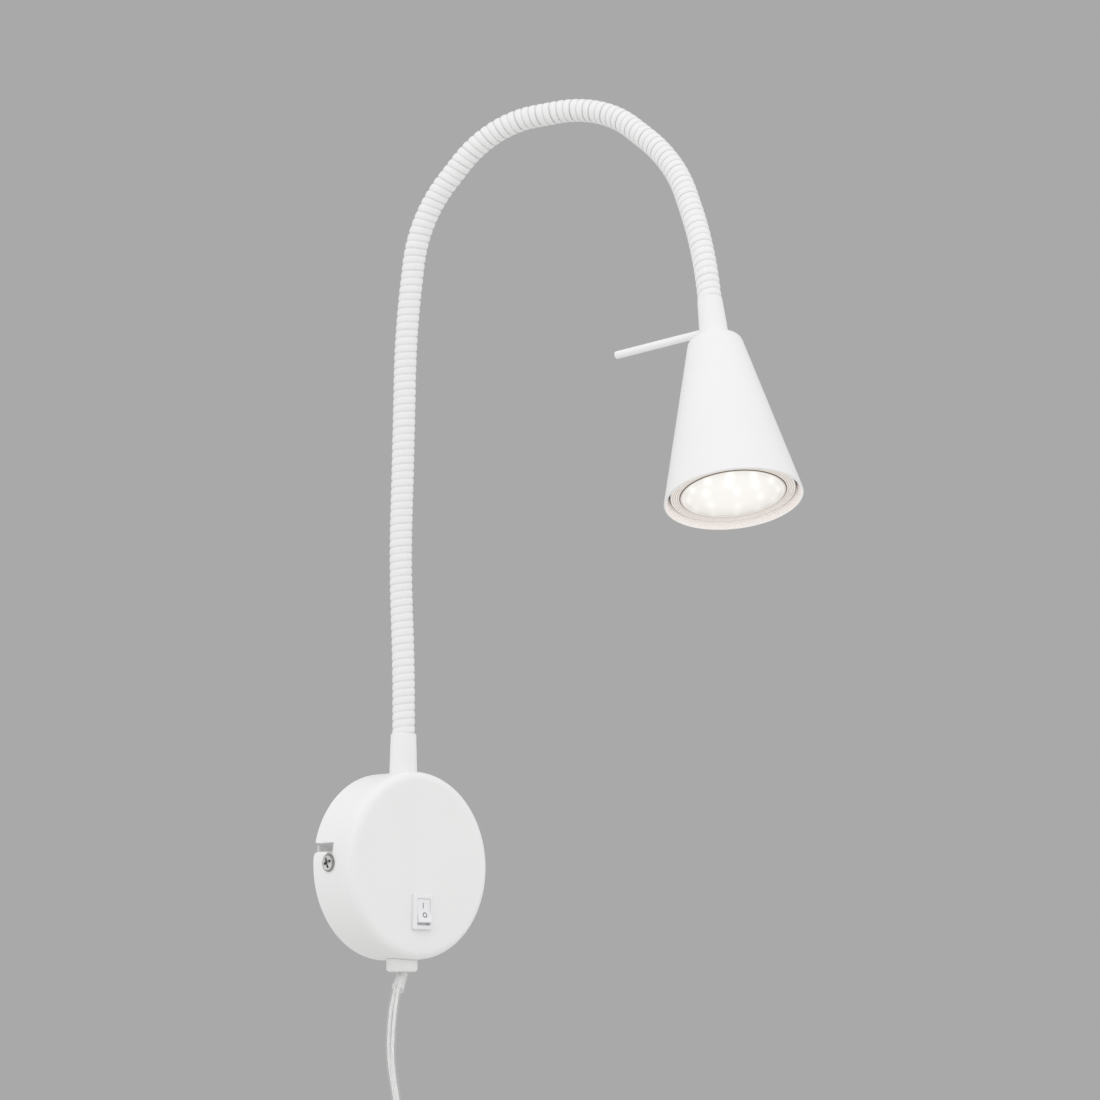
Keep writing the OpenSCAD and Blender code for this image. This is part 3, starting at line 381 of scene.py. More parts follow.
# %% Clear PVC and tinned copper
def clear_wall(name, haze_share):
    """A thin clear wall: this share of it is white haze and gloss, the rest lets light through."""
    made, tree = blank(name)
    spot = node(tree, "TexCoord").outputs["Object"]
    cloud = node(tree, "TexNoise", {"Vector": spot, "Scale": grain(4), "Detail": 2.0}).outputs["Fac"]
    gloss = node(tree, "MapRange", {"Value": cloud, "To Min": 0.04, "To Max": 0.12})
    die_lines = node(tree, "Bump", {"Height": cloud, "Strength": 0.15, "Distance": 0.1 * MM})
    shader = node(tree, "BsdfPrincipled", {
        "Base Color": colour("#FBFBFB"), "Alpha": haze_share, "Roughness": gloss.outputs["Result"],
        "Normal": die_lines.outputs["Normal"], **POLYMER})
    node(tree, "OutputMaterial", {"Surface": shader.outputs["BSDF"]})
    print("finish:", name)
    return made


clear_pvc = clear_wall("clear soft PVC, extruded", 0.07)
sleeve_pvc = clear_wall("clear sleeve PVC, cut from tube", 0.3)
# Tin scatters the light in its fine strands more than it mirrors it, and where two strands
# meet it is painted dark as shade.
tinned_copper = mottled("tinned copper strands", "#F8F8F7", "#FFFFFF", 0.8, (0.25, 0.45), 3.0,
                        painted_shade=("crevice_shade", "#7A7A78"), sockets={"Metallic": 0.05})

# %% [markdown]
# ## The mains cord
#
# A flat twin cord, 5.4 mm wide, drops from the canopy with a lazy twist. The photograph shows its
# first 54 mm, so the rest of about 1.5 m is put away below the picture as a neat coil of two layers,
# four turns each, held by a tie. Curves with a bevel give round cords; a flat cord that twists is
# simpler as an outline swept along the route. The route repeats the part's own points.

# %% Route of the cord
CORD_W, CORD_T, CORE_R = 5.4, 3.2, 0.66
COIL_R, COIL_PITCH, COIL_LAYER, COIL_TURNS = 36.0, 3.9, 6.1, 4
OFF_WALL, CORD_EXIT, TAIL_END, SPAN_STEPS, TURN_STEPS = -12.0, -45, 41.4, 12, 64
COIL_MIDDLE = np.array([36.0, OFF_WALL, -143.0])
free_points = [(x, OFF_WALL, z) for x, z in (
    (0, -31), (0, -38), (0, -45), (-3, -53), (-5, -62), (-6, -72), (-6, -80), (-5, -88), (-3, -97),
    (-1, -108), (0, -119), (0, -129), (0, -137.6))]
free_twist = [-42, -75, -105, -100, -90, -92, -98, -103, -106, -102, -96, -90, -90]


def coil_line(turn):
    """Winds in for four turns and out again for four, one layer further forward: the radius falls and
    rises by one pitch a turn, and the step between layers is a smooth ramp over half a turn."""
    radius = COIL_R - COIL_PITCH * np.where(turn < COIL_TURNS, turn, 2 * COIL_TURNS - turn)
    ramp = np.clip(2 * (turn - COIL_TURNS) + 0.5, 0, 1)
    angle = np.pi + 2 * np.pi * turn
    forward = -COIL_LAYER * ramp**2 * (3 - 2 * ramp)
    return COIL_MIDDLE + np.stack([radius * np.cos(angle), forward, radius * np.sin(angle)], -1)


coil = coil_line(np.linspace(0, 2 * COIL_TURNS, 2 * COIL_TURNS * TURN_STEPS + 1))
tail = coil[-1] - np.outer(np.linspace(0.2, TAIL_END, 24), [0, 0, 1])
free_line = through(free_points, SPAN_STEPS)
cord_line = np.vstack([free_line, coil, tail])
twist = through(np.array(free_twist)[:, None], SPAN_STEPS)[:, 0]
twist = np.radians(np.concatenate([twist, np.full(len(coil) + len(tail), -90.0)]))
wide_side = np.stack([np.cos(twist), np.sin(twist), np.zeros_like(twist)], -1)
exit_row = int(np.argmin(abs(free_line[:, 2] - CORD_EXIT)))

# %% Cord with its two cores
WAIST_DEPTH, WAIST_W = 0.22, 0.5


def oval(half_w, half_t, columns=32, waist=0.0):
    """Flat-sided oval: x = half_w cos a, and y is half_t on the straight run and the circle of that
    radius at each end, less a waist of a bell curve in the middle."""
    angle = all_round(columns)
    x = half_w * np.cos(angle)
    y = np.sqrt(np.maximum(half_t**2 - np.maximum(abs(x) - half_w + half_t, 0) ** 2, 0))
    y = y - waist * np.exp(-((x / WAIST_W) ** 2))
    return np.stack([x, np.sign(np.sin(angle)) * y * (abs(np.sin(angle)) > TINY)], -1)


def strand_outline(run, side, lay=45.0, strands=6, columns=36):
    """A bundle of strands: the radius has one bulge for each strand, and the bulges turn once in a lay.
    Returns the outline and how deep each point lies between two strands."""
    angle = all_round(columns)
    bulge = abs(np.cos(strands / 2 * (angle[None] - 2 * np.pi * run[:, None] / lay)))
    r = CORE_R * (0.7 + 0.3 * bulge)
    outline = np.stack([side * CORD_W / 4 + r * np.cos(angle), r * np.sin(angle)], -1)
    return outline, np.clip(1 - 1.8 * bulge, 0, 1)


line = cord_line[exit_row - 2 :]
sides = wide_side[exit_row - 2 :]
run = np.concatenate([[0], np.cumsum(np.linalg.norm(np.diff(line, axis=0), axis=1))])
sheath = swept(line, sides, oval(CORD_W / 2, CORD_T / 2, 28, WAIST_DEPTH))
cores = [strand_outline(run, side) for side in (-1, 1)]
mains_cord = piece(
    "mains_cord_twin", [sheath] + [swept(line, sides, outline) for outline, _ in cores],
    [clear_pvc, tinned_copper, tinned_copper], "base", ["mains_cord", "cord_coil", "cord_tail"],
    crease=60)
# Where two strands meet, the cores are painted dark as shade.
between = [np.zeros(sheath.shape[0] * sheath.shape[1])] + [depth.ravel() for _, depth in cores]
shade_value(mains_cord, "crevice_shade", np.concatenate(between))

# %% [markdown]
# ## Sleeve, tie and plug on the cord
#
# Below the grommet a short clear sleeve, cut at a slant, guards the cord. The coil is held by a strap,
# and the plug is the flat two-pin kind moulded onto the cord, with a ribbed tail that keeps the cord
# from kinking. Boxes would do for a stand-in; here each is a loft of outlines, so it has its own curves.

# %% White PVC and nickel
# Soft moulded PVC is satin, with the fine tooth of its mould.
white_pvc = mottled("white PVC, moulded", "#ECECEA", "#F3F3F2", 6, (0.38, 0.5), tooth=(0.5, 0.12, 0.05))
# Bright nickel mirrors what is round it, with fine scuffs; the screws' cross recesses and head rims
# are painted dark as shade.
bright_nickel = mottled("bright nickel plate", "#DADAD8", "#FAFAF8", 0.6, (0.1, 0.22), 4.0,
                        painted_shade=("recess_and_rim_shade", "#1A1A1A"), sockets={"Metallic": 0.6})

# %% Sleeve
SLEEVE_GAP, SLEEVE_WALL, SLEEVE_SLANT, SLEEVE_SHIFT, SLEEVE_LIFT = 0.1, 0.3, 0.6, 0.45, 2.5
low, high = box_mm("cord_sleeve")[:, 2]
rows = np.flatnonzero((free_line[:, 2] < high) & (free_line[:, 2] > low + SLEEVE_LIFT))
sleeve_line = free_line[rows] + [SLEEVE_SHIFT, 0, 0]
walls = [swept(sleeve_line, wide_side[rows], oval(CORD_W / 2 + grow, CORD_T / 2 + grow))
         for grow in (SLEEVE_GAP + SLEEVE_WALL, SLEEVE_GAP)]
slant = np.linspace(0, 1, len(rows))[:, None] ** 3
for wall in walls:
    wall[..., 2] -= slant * (wall[..., 0] - wall[..., 0].mean(1, keepdims=True)) * SLEEVE_SLANT
sleeve = piece(
    "cord_sleeve_clear", np.concatenate([walls[0], walls[1][::-1], walls[0][:1]]), sleeve_pvc, "base",
    ["cord_sleeve"])

# %% Tie
TIE_CORNER = 3.0


def rounded_box(w, h, r, columns=48):
    """Outline of a w by h rectangle with corners of radius r, as many points for any size: the middle
    of the corner that a direction points to, and r times the direction."""
    angle = 2 * np.pi * (np.arange(columns) + 0.5) / columns
    way = np.stack([np.cos(angle), np.sin(angle)], -1)
    return np.sign(way) * [w / 2 - r, h / 2 - r] + r * way


def loft(sections, place=PLAIN, columns=48):
    """Rounded rectangles (w, h, radius, height) one above the other."""
    rings = [np.column_stack([rounded_box(w, h, r, columns), np.full(columns, z)])
             for w, h, r, z in sections]
    return placed(np.stack(rings), place)


tie_low, tie_high = box_mm("cord_tie")
tie_w, tie_h, tie_long = tie_high - tie_low
strap = [(0.0, 0.3), (0.3, 0.5), (0.8, 0.5), (1.2, 0.3), (1.2, -0.3), (0.8, -0.5), (0.3, -0.5),
         (0.0, -0.3), (0.0, 0.3)]
strap = [(tie_w - 2 * inset, tie_h - 2 * inset, TIE_CORNER - inset, rise * tie_long)
         for inset, rise in strap]
tie = piece(
    "cord_tie_strap", loft(strap, upright(*(tie_low + tie_high) / 2)), white_pvc, "base", ["cord_tie"])

# %% Plug
PLUG_W, PLUG_T, RIBS_FROM, RIB_COUNT, RIB_STEP, RIB_LAND, RIB_DEPTH = 35.2, 13.6, 40.4, 8, 2.3, 1.0, 0.9
plug_low, plug_high = box_mm("plug_body")
plug_middle = (plug_low[1] + plug_high[1]) / 2, plug_low[2]
body_of_plug = [
    (0, 0, 0, 0), (33.4, 11.8, 5.0, 0), (34.6, 13.0, 5.4, 0.3), (PLUG_W, PLUG_T, 5.8, 1.2),
    (PLUG_W, PLUG_T, 5.8, 8.5), (34.6, PLUG_T, 5.8, 10.5), (31.0, 13.5, 5.8, 17), (26.0, 13.2, 5.8, 25),
    (21.0, 12.8, 5.8, 31), (17.5, 12.2, 5.6, 34), (14.0, 11.2, 5.2, 36.5), (11.6, 9.8, 4.6, 38.6),
    (10.0, 8.6, 4.1, 40.0)]
up = np.repeat(np.arange(RIB_COUNT) * RIB_STEP, 2) + np.tile([0, RIB_LAND], RIB_COUNT)
cut = np.tile([0, RIB_DEPTH], RIB_COUNT)
ribs = list(zip(10.0 - 0.165 * up - cut, 8.4 - 0.15 * up - cut, 3.0 - 0.06 * up, RIBS_FROM + up))
plug = piece(
    "plug_moulded", loft(body_of_plug + ribs + [(0, 0, 0, ribs[-1][3])], upright(0, *plug_middle)),
    white_pvc, "base", ["plug_body"], crease=50)

# %% Plug pins, and what the cord is
PIN_R, PIN_LEN, PIN_SPACING, COLLAR, SUNK = 2.0, 19.0, 18.6, 9.0, 0.4
pin_metal = rounded([(0, -PIN_LEN, 0), (PIN_R, -PIN_LEN, 1.2), (PIN_R, -COLLAR, 0),
                     (PIN_R - 0.15, -COLLAR, 0), (PIN_R - 0.15, SUNK, 0)])
pin_collar = rounded([(PIN_R - 0.12, -COLLAR - 0.2, 0), (PIN_R, -COLLAR - 0.2, 0.05), (PIN_R, SUNK, 0)])
pin_spots = [upright(side * PIN_SPACING / 2, *plug_middle) for side in (-1, 1)]
pins = piece(
    "plug_pins_plated", [turned(p, 48, spot) for spot in pin_spots for p in (pin_metal, pin_collar)],
    [bright_nickel, white_pvc] * 2, "base", ["plug_pins"])

# %% [markdown]
# ## White enamel
#
# Canopy, ferrules, handle and shade are steel with a baked white powder coat. Powder melts into a film
# with a faint orange peel, about a millimetre from hill to hill, so the gloss breaks up a little. Noise
# in the bump and the roughness gives that; the colour hardly changes over the surface. Inside the
# shade's mouth the lit bulb shines on it. A lamp so close to a wall renders with grain, so that light
# is a value on the points there.

# %% Powder coat
enamel, tree = blank("white powder coat on steel")
spot = node(tree, "TexCoord").outputs["Object"]
peel = node(tree, "TexNoise", {"Vector": spot, "Scale": grain(0.9), "Detail": 2.0, "Roughness": 0.4})
peel = peel.outputs["Fac"]
drift = node(tree, "TexNoise", {"Vector": spot, "Scale": grain(30), "Detail": 1.0}).outputs["Fac"]
coat = node(tree, "Mix", {0: drift, 6: colour("#F0F0F0"), 7: colour("#F4F4F4")}, data_type="RGBA")
spill = node(tree, "Attribute", attribute_name="spill").outputs["Fac"]
warm = node(tree, "Mix", {0: spill, 6: (0, 0, 0, 1), 7: colour("#FFE6D8")}, data_type="RGBA")
gloss = node(tree, "MapRange", {"Value": peel, "To Min": 0.34, "To Max": 0.44})
orange_peel = node(tree, "Bump", {"Height": peel, "Strength": 0.05, "Distance": 0.04 * MM})
shader = node(tree, "BsdfPrincipled", {
    "Base Color": coat.outputs[2], "Roughness": gloss.outputs["Result"], "IOR": 1.5,
    "Normal": orange_peel.outputs["Normal"], "Emission Color": warm.outputs[2],
    "Emission Strength": 0.21})
node(tree, "OutputMaterial", {"Surface": shader.outputs["BSDF"]})
print("finish:", enamel.name)

# %% [markdown]
# ## Canopy
#
# A deep-drawn cup, 80 mm across and 24 mm deep, with an L-shaped slot on each side: it slides over two
# screws on the bracket and drops by 6.7 mm. A Boolean could cut the slots, but it leaves thin faces
# that shade badly. Here the cup is turned from one outline with columns and rows placed on the slots'
# edges, so that the slots are faces left out, and the columns bend away where a slot's mouth is
# rounded. Solidify gives the sheet its millimetre and Bevel breaks its edges.

# %% Rows and columns of the canopy
CANOPY_R, CANOPY_DEPTH, CANOPY_WALL, CANOPY_EDGE = 40.0, 24.0, 1.0, 4.0
SLOT_LOW, SLOT_STEP, SLOT_HIGH, SLOT_NEAR, SLOT_END = -1.9, 4.8, 8.6, 8.1, 12.0
COLUMNS, CLOSEST = 160, 0.012
OUT_OF_WALL = (np.zeros(3), np.array([[1, 0, 0], [0, 0, -1], [0, 1, 0]]))
side_rows = (0, 0.12, 0.3, 0.6, 0.9, 1.2, 1.7, 2.2, 5, SLOT_NEAR, SLOT_END, 16)
outline = rounded(
    [(CANOPY_R, depth, 0) for depth in side_rows] + [(CANOPY_R, CANOPY_DEPTH, CANOPY_EDGE)]
    + [(radius, CANOPY_DEPTH, 0) for radius in (32, 24, 16, 8, 0)], steps=8)
edges = np.arcsin(np.array([SLOT_LOW, SLOT_STEP, SLOT_HIGH]) / CANOPY_R)
edges = np.concatenate([np.pi - edges, 2 * np.pi - edges]) % (2 * np.pi)
even = all_round(COLUMNS)
apart = abs((even[:, None] - edges[None] + np.pi) % (2 * np.pi) - np.pi).min(1)
angles = np.sort(np.concatenate([even[apart > CLOSEST], edges]))
r, h = outline.T
print("canopy:", len(h), "rows and", len(angles), "columns")

# %% Canopy cup with its slots
MOUTH_LOW_R, MOUTH_HIGH_R, MOUTH_FADE = 2.2, 1.2, 4.5
AT_SIDES, TOUCH = 0.9, 0.01
EDGE_BREAK, EDGE_ANGLE = 0.22, 50


def mouth_flare(depth, radius):
    """How far a slot's side turns away at its rounded mouth: R - sqrt(R^2 - (R - depth)^2)."""
    inside = np.clip(radius - depth, 0, radius)
    return radius - np.sqrt(radius**2 - inside**2)


side_of = np.where(np.cos(angles) < 0, 1, -1)
rise = side_of * CANOPY_R * np.sin(angles)
near = abs(np.cos(angles)) > AT_SIDES
below, above = near & (rise < SLOT_STEP + TOUCH), near & (rise > SLOT_HIGH - TOUCH)
down = np.where(below, np.clip(1 - (SLOT_STEP - rise) / MOUTH_FADE, 0, 1), 0)
up = np.where(above, np.clip(1 - (rise - SLOT_HIGH) / MOUTH_FADE, 0, 1), 0)
moved = np.outer(mouth_flare(h, MOUTH_HIGH_R), up) - np.outer(mouth_flare(h, MOUTH_LOW_R), down)
around = angles + side_of * moved / (CANOPY_R * np.where(near, np.cos(angles), 1))
cup = [r[:, None] * np.cos(around), r[:, None] * np.sin(around), np.outer(h, np.ones(len(angles)))]
middle_angle = (angles + np.diff(np.append(angles, angles[0] + 2 * np.pi)) / 2)[None]
depth = ((h[:-1] + h[1:]) / 2)[:, None]
height = np.where(np.cos(middle_angle) < 0, 1, -1) * CANOPY_R * np.sin(middle_angle)
entry = (height > SLOT_STEP) & (height < SLOT_HIGH) & (depth < SLOT_END)
leg = (height > SLOT_LOW) & (height < SLOT_STEP + TOUCH) & (depth > SLOT_NEAR) & (depth < SLOT_END)
slots = (entry | leg) & (abs(np.cos(middle_angle)) > AT_SIDES)
canopy = piece(
    "canopy_cup", placed(np.stack(cup, -1), OUT_OF_WALL), enamel, "base", ["canopy"],
    keep=~slots)
sheet = canopy.modifiers.new("sheet thickness", "SOLIDIFY")
sheet.thickness, sheet.offset = CANOPY_WALL * MM, -1
edge = canopy.modifiers.new("broken edges", "BEVEL")
edge.width, edge.segments = EDGE_BREAK * MM, 2
edge.limit_method, edge.angle_limit = "ANGLE", math.radians(EDGE_ANGLE)
print("faces left out for the slots:", int(slots.sum()))

# %% [markdown]
# ## Ferrule, grommet and the canopy's screws
#
# The neck stands in a turned ferrule whose foot is cut to the canopy's curve, and its threaded stud
# goes through the sheet to a nut inside. The grommet below is a soft white moulding with a rounded lip.
# The screws have pan heads with a cross recess. A Boolean could cut the foot and the recess; a foot
# whose points drop by a formula, and a head that is a height over a round grid, keep soft edges.

# %% Ferrule at the canopy
ARM_FOOT = np.array([0.0, OFF_WALL, 57.0])
FERRULE_LEN, FERRULE_BORE, SINK = 17.0, 4.7, 0.05
THREAD_R = np.tile([4.0, 3.7], 7)


def foot_drop(points):
    """How far the canopy's round side falls below its top under a point: R - sqrt(R^2 - x^2)."""
    return CANOPY_R - np.sqrt(CANOPY_R**2 - points[..., 0] ** 2)


at_canopy_top = upright(0, OFF_WALL, CANOPY_R)
outline = rounded([(5.0, 0.0, 0), (6.0, 0.0, 0.15), (5.5, FERRULE_LEN, 0.7),
                   (FERRULE_BORE, FERRULE_LEN, 0.3), (FERRULE_BORE, 11, 0)])
ferrule = turned(outline, 72, at_canopy_top)
ferrule[..., 2] -= foot_drop(ferrule) * (1 - outline[:, 1] / FERRULE_LEN)[:, None].clip(0, 1) + SINK
thread = np.column_stack([THREAD_R, 33.42 + np.arange(14) * 0.375])
thread = np.vstack([[2.3, 36.0], [2.3, 33.4], [3.6, 33.4], thread, [3.9, 38.8]]) - [0, CANOPY_R]
piece("arm_ferrule_turned", [ferrule, turned(thread, 48, at_canopy_top)], enamel, "base",
      ["arm_ferrule"])

# %% Grommet
GROMMET_R, GROMMET_H, CORD_BORE, GROMMET_NECK, LIP_R, LIP_TOP = 6.7, 5.0, 2.9, 4.5, 6.0, 8.4
outline = rounded([(CORD_BORE, 3, 0), (CORD_BORE, 0, 0.5), (GROMMET_R, 0, 1.5),
                   (GROMMET_R, GROMMET_H, 0.25), (GROMMET_NECK, GROMMET_H, 0)], 8)
lip = rounded([(GROMMET_NECK, GROMMET_H - 0.2, 0), (GROMMET_NECK, 6.4, 0), (LIP_R, 6.4, 0.2),
               (LIP_R, LIP_TOP, 0.5), (CORD_BORE, LIP_TOP, 0.4), (CORD_BORE, 2, 0)])
at_grommet = upright(0, OFF_WALL, -CANOPY_R - GROMMET_H)
bush = turned(outline, 72, at_grommet)
bush[..., 2] += foot_drop(bush) * (outline[:, 1] / GROMMET_H)[:, None] - SINK
piece("cord_grommet_moulded", [bush, turned(lip, 72, at_grommet)], white_pvc, "base", ["cord_grommet"])

# %% Pan head with a cross recess
HEAD_R, HEAD_H, SHANK_R, SHANK_LEN, SCREW_REACH = 3.85, 1.4, 1.75, 8.0, 10.0
CROSS_HALF, CROSS_SIDE, CROSS_REACH, CROSS_END, CROSS_DEPTH = 0.62, 0.14, 2.5, 0.5, 1.2


def cross_cut(x, y):
    """Share of the cross recess's depth: 1 in arms 1.2 mm wide, falling to 0 at their sides and ends."""
    arm = np.clip((CROSS_HALF - np.minimum(abs(x), abs(y))) / CROSS_SIDE, 0, 1)
    return arm * np.clip((CROSS_REACH - np.hypot(x, y)) / CROSS_END, 0, 1)


def pan_head(sides=144):
    """Height over a disc: a low dome on a thin rim, 0.4 h (1 - (r / R)^12)^(1/2) + 0.6 h (1 - (r / R)^2),
    less a cross that gets shallower towards its ends."""
    rim = np.sin(np.linspace(1.1, np.pi / 2, 10))
    radius = HEAD_R * np.concatenate([[0], np.linspace(0.03, 0.86, 34), rim])[::-1]
    angle = all_round(sides)
    x, y = np.outer(radius, np.cos(angle)), np.outer(radius, np.sin(angle))
    share = (radius / HEAD_R)[:, None]
    dome = HEAD_H * (0.4 * np.sqrt(np.maximum(1 - share**12, 0)) + 0.6 * (1 - share**2))
    return np.stack([x, y, dome - CROSS_DEPTH * cross_cut(x, y) * (1 - 0.22 * radius[:, None])], -1)


print("a pan head is a grid of", pan_head().shape)

# %% The two canopy screws
SCREW_TURN = math.radians(20)
thread = np.column_stack([np.tile([SHANK_R, SHANK_R - 0.3], 11), -0.3 - np.arange(22) * 0.35])
shank = np.vstack([[HEAD_R, 0.0], [SHANK_R, 0.0], thread, [0, -SHANK_LEN]])
screw = np.concatenate([turned(shank[::-1], 144), pan_head()])
left_side = np.array([[0, 0, -1], [0, -1, 0], [-1, 0, 0]])
right_side = np.array([[0, 0, 1], [0, 1, 0], [-1, 0, 0]])
spots = [(np.array([side * (CANOPY_R + SINK), -SCREW_REACH, 0]), axes @ turn_z(SCREW_TURN))
         for side, axes in ((-1, left_side), (1, right_side))]
screws = piece(
    "canopy_screws_plated", [placed(screw, spot) for spot in spots], bright_nickel, "base",
    ["canopy_screws"])
# The cross recess, all but its middle, and the rim of each head are painted dark as shade.
on_left = own_points(screws, PLAIN)[:, :1] < 0
x, y, z = np.where(on_left, own_points(screws, spots[0]), own_points(screws, spots[1])).T
out = np.hypot(x, y)
in_cross = cross_cut(x, y) * (1 - 0.85 * np.exp(-((out / 0.7) ** 2)))
recess_and_rim_shade = np.maximum(in_cross, 0.6 * np.clip((out - 2.85) / 0.4, 0, 1))
shade_value(screws, "recess_and_rim_shade", np.where(z > -0.1, recess_and_rim_shade, 0))

# %% [markdown]
# ## Rocker switch
#
# A small snap-in rocker switch sits low on the canopy's front. Boxes with a Bevel would give it the
# same radius everywhere, which a mould doesn't. Its frame and body are one loft of rounded rectangles
# that goes up the outside and down into the well. The rocker is an outline with a shallow dip, carried
# across the switch, with its ends drawn in a little so that all edges are round. The marks I and O are
# inlaid and ride on it.

# %% Switch plastics
# A spark-eroded mould leaves a fine even tooth, so the white is matt and slightly cool.
switch_abs = mottled("white ABS, spark-eroded mould", "#EEEEF0", "#F3F3F5", 3, (0.3, 0.4),
                     tooth=(0.25, 0.1, 0.03))
# Pad-print ink is flat and dark, with a fine grit.
mark_ink = mottled("grey pad-print ink", "#161618", "#242426", 0.3, 0.55, sockets={})

# %% Switch frame and body
BEZEL_W, BEZEL_H, BEZEL_T, WELL_W, WELL_H, WELL_FLOOR = 10.5, 15.0, 2.0, 7.4, 11.2, -4.9
BODY_W, BODY_H, BODY_DEPTH = 9.0, 13.2, 11.0
at_switch = (np.array([0.0, -CANOPY_DEPTH, -20.0]), OUT_OF_WALL[1])
behind = [(0, 0, 0, -BODY_DEPTH), (BODY_W - 0.6, BODY_H - 0.6, 0.3, -BODY_DEPTH),
          (BODY_W, BODY_H, 0.5, 0.4 - BODY_DEPTH), (BODY_W, BODY_H, 0.5, 0.02)]
bezel = [(0.5, 0.4, 0.02), (0.5, 0.4, 0.15), (0, 0.5, 0.18), (0, 0.5, 1.1), (0.12, 0.6, 1.45),
         (0.5, 0.5, 1.8), (1.0, 0.5, 1.97), (1.5, 0.5, BEZEL_T)]
bezel = [(BEZEL_W - inset, BEZEL_H - inset, corner, rise) for inset, corner, rise in bezel]
well = [(WELL_W + 0.3, WELL_H + 0.3, 0.35, BEZEL_T), (WELL_W, WELL_H, 0.3, BEZEL_T - 0.15),
        (WELL_W, WELL_H, 0.3, WELL_FLOOR), (0, 0, 0, WELL_FLOOR)]
piece("switch_frame", loft(behind + bezel + well, at_switch, 64), switch_abs, "base",
      ["switch_housing"])

# %% Rocker
ROCKER_W, ROCKER_H, ROCKER_END, ROCKER_DIP = 7.2, 10.0, 4.3, 0.7
PIVOT_BACK, TILT = 1.6, math.radians(8)
lean = np.array([[1, 0, 0], [0, math.cos(TILT), math.sin(TILT)], [0, -math.sin(TILT), math.cos(TILT)]])
at_rocker = (at_switch[0] + [0, PIVOT_BACK, 0], at_switch[1] @ lean)


def rocker_face(height):
    """How far the rocker stands out: a dip in the middle that rises with the square of the height."""
    return ROCKER_END - ROCKER_DIP + ROCKER_DIP * (np.asarray(height) / (ROCKER_H / 2)) ** 2


side = ROCKER_H / 2
dip = [(y, float(rocker_face(y)), 0) for y in np.linspace(side - 0.5, -side + 0.5, 15)]
keel = [(-side, 0, 0.4), (-1.8, -2.5, 0.4), (1.8, -2.5, 0.4), (side, 0, 0.4), (side, ROCKER_END, 0.25)]
outline = rounded(keel + dip + [(-side, ROCKER_END, 0.25)])
half = [(0.46, 0.0), (0.49, 0.12), (0.5, 0.3), (0.5, 0.5)]
inset = np.array([(-at, by) for at, by in half[::-1]] + [(0, 0)] + half)
shrunk = outline[None] - inset[:, 1:, None] * unit(outline - outline.mean(0))[None]
across = np.broadcast_to((inset[:, 0] * ROCKER_W)[:, None, None], shrunk.shape[:2] + (1,))
piece("switch_rocker_moulded", placed(capped(np.concatenate([across, shrunk], -1)), at_rocker),
      switch_abs, "rocker", ["switch_rocker"])

# %% Marks on the rocker
MARK_HALF, MARK_PROUD = 0.19, 0.04


def mark(centres):
    """A line of ink on the rocker's face: a flat strip with rounded shoulders, following the dip. A point
    of the strip's shape (x, y) lies x half widths aside of the line and y times 0.04 above the face."""
    shape = np.array([(-1, -3), (-1, 0), (-0.7, 1), (0.7, 1), (1, 0), (1, -3)])
    along = unit(np.gradient(centres, axis=0))
    aside = np.stack([along[:, 1], -along[:, 0]], -1)
    flat = centres[:, None] + shape[None, :, :1] * MARK_HALF * aside[:, None]
    height = rocker_face(flat[..., 1]) + shape[None, :, 1] * MARK_PROUD
    return np.concatenate([flat, height[..., None]], -1)


bar = mark(np.column_stack([np.full(9, -0.5), np.linspace(1.1, 3.4, 9)]))
ring = mark(np.array([0.1, -1.8]) + circle(0.95, 49) * [1.1, 1.0])
ring = np.concatenate([ring[:-1], ring[:1]])
piece("switch_marks", [placed(capped(bar), at_rocker), placed(ring, at_rocker)], mark_ink, "rocker")

# %% [markdown]
# ## The neck
#
# The neck is a steel hose: a ribbed strip wound into a helix that clicks from rib to rib and holds its
# shape. Its bend was fitted to the photograph as nine lengths, and the imported model has a joint between
# each two of them. A Screw modifier can wind a profile; a tube whose radius depends on run and angle
# does it in one formula and can follow the bends. Eight pieces overlap the eight joints.

# %% Line of the neck
SEGMENT, STRAIGHT, HEADING_OF_ARM = 50.0, 5.0, 20.0
ARM_BEND = np.radians([-1, 4, 0, 6, 32, 46, 43, 23, 14])
ARM_SIDE = np.radians([-3, 0, -1, 0, 7, -2, -13, -11, 5])


def arm_line(run):
    """Points and axes (as columns: bend side, other side, heading) of the neck's middle at each run.
    A length is straight for 5 mm, an arc for 40 mm and straight for 5 mm; the arc leans by
    hypot(bend, side) towards the angle atan2(side, bend), and the next length goes on from its end."""
    run = np.atleast_1d(np.asarray(run, float))
    points, axes = np.zeros((len(run), 3)), np.zeros((len(run), 3, 3))
    origin, turn = ARM_FOOT, turn_z(math.radians(HEADING_OF_ARM - 90))
    which = np.clip(run // SEGMENT, 0, len(ARM_BEND) - 1)
    arc = SEGMENT - 2 * STRAIGHT
    for k, (bend, side) in enumerate(zip(ARM_BEND, ARM_SIDE)):
        lean, roll = math.hypot(bend, side), math.atan2(side, bend)
        mine = np.flatnonzero(which == k)
        u = np.append(run[mine] - k * SEGMENT, SEGMENT)
        a = lean * np.clip((u - STRAIGHT) / arc, 0, 1)
        past = np.maximum(u - STRAIGHT - arc, 0)
        out = arc / lean * (1 - np.cos(a)) + np.sin(a) * past
        up = np.minimum(u, STRAIGHT) + arc / lean * np.sin(a) + np.cos(a) * past
        local = np.stack([out, np.zeros_like(out), up], -1) @ turn_z(roll).T
        swing = np.zeros((len(u), 3, 3))
        swing[:, 0, 0], swing[:, 0, 2], swing[:, 1, 1] = np.cos(a), np.sin(a), 1
        swing[:, 2, 0], swing[:, 2, 2] = -np.sin(a), np.cos(a)
        spin = turn @ (turn_z(roll) @ swing @ turn_z(-roll))
        points[mine], axes[mine] = (origin + local @ turn.T)[:-1], spin[:-1]
        origin, turn = origin + turn @ local[-1], spin[-1]
    return points, axes


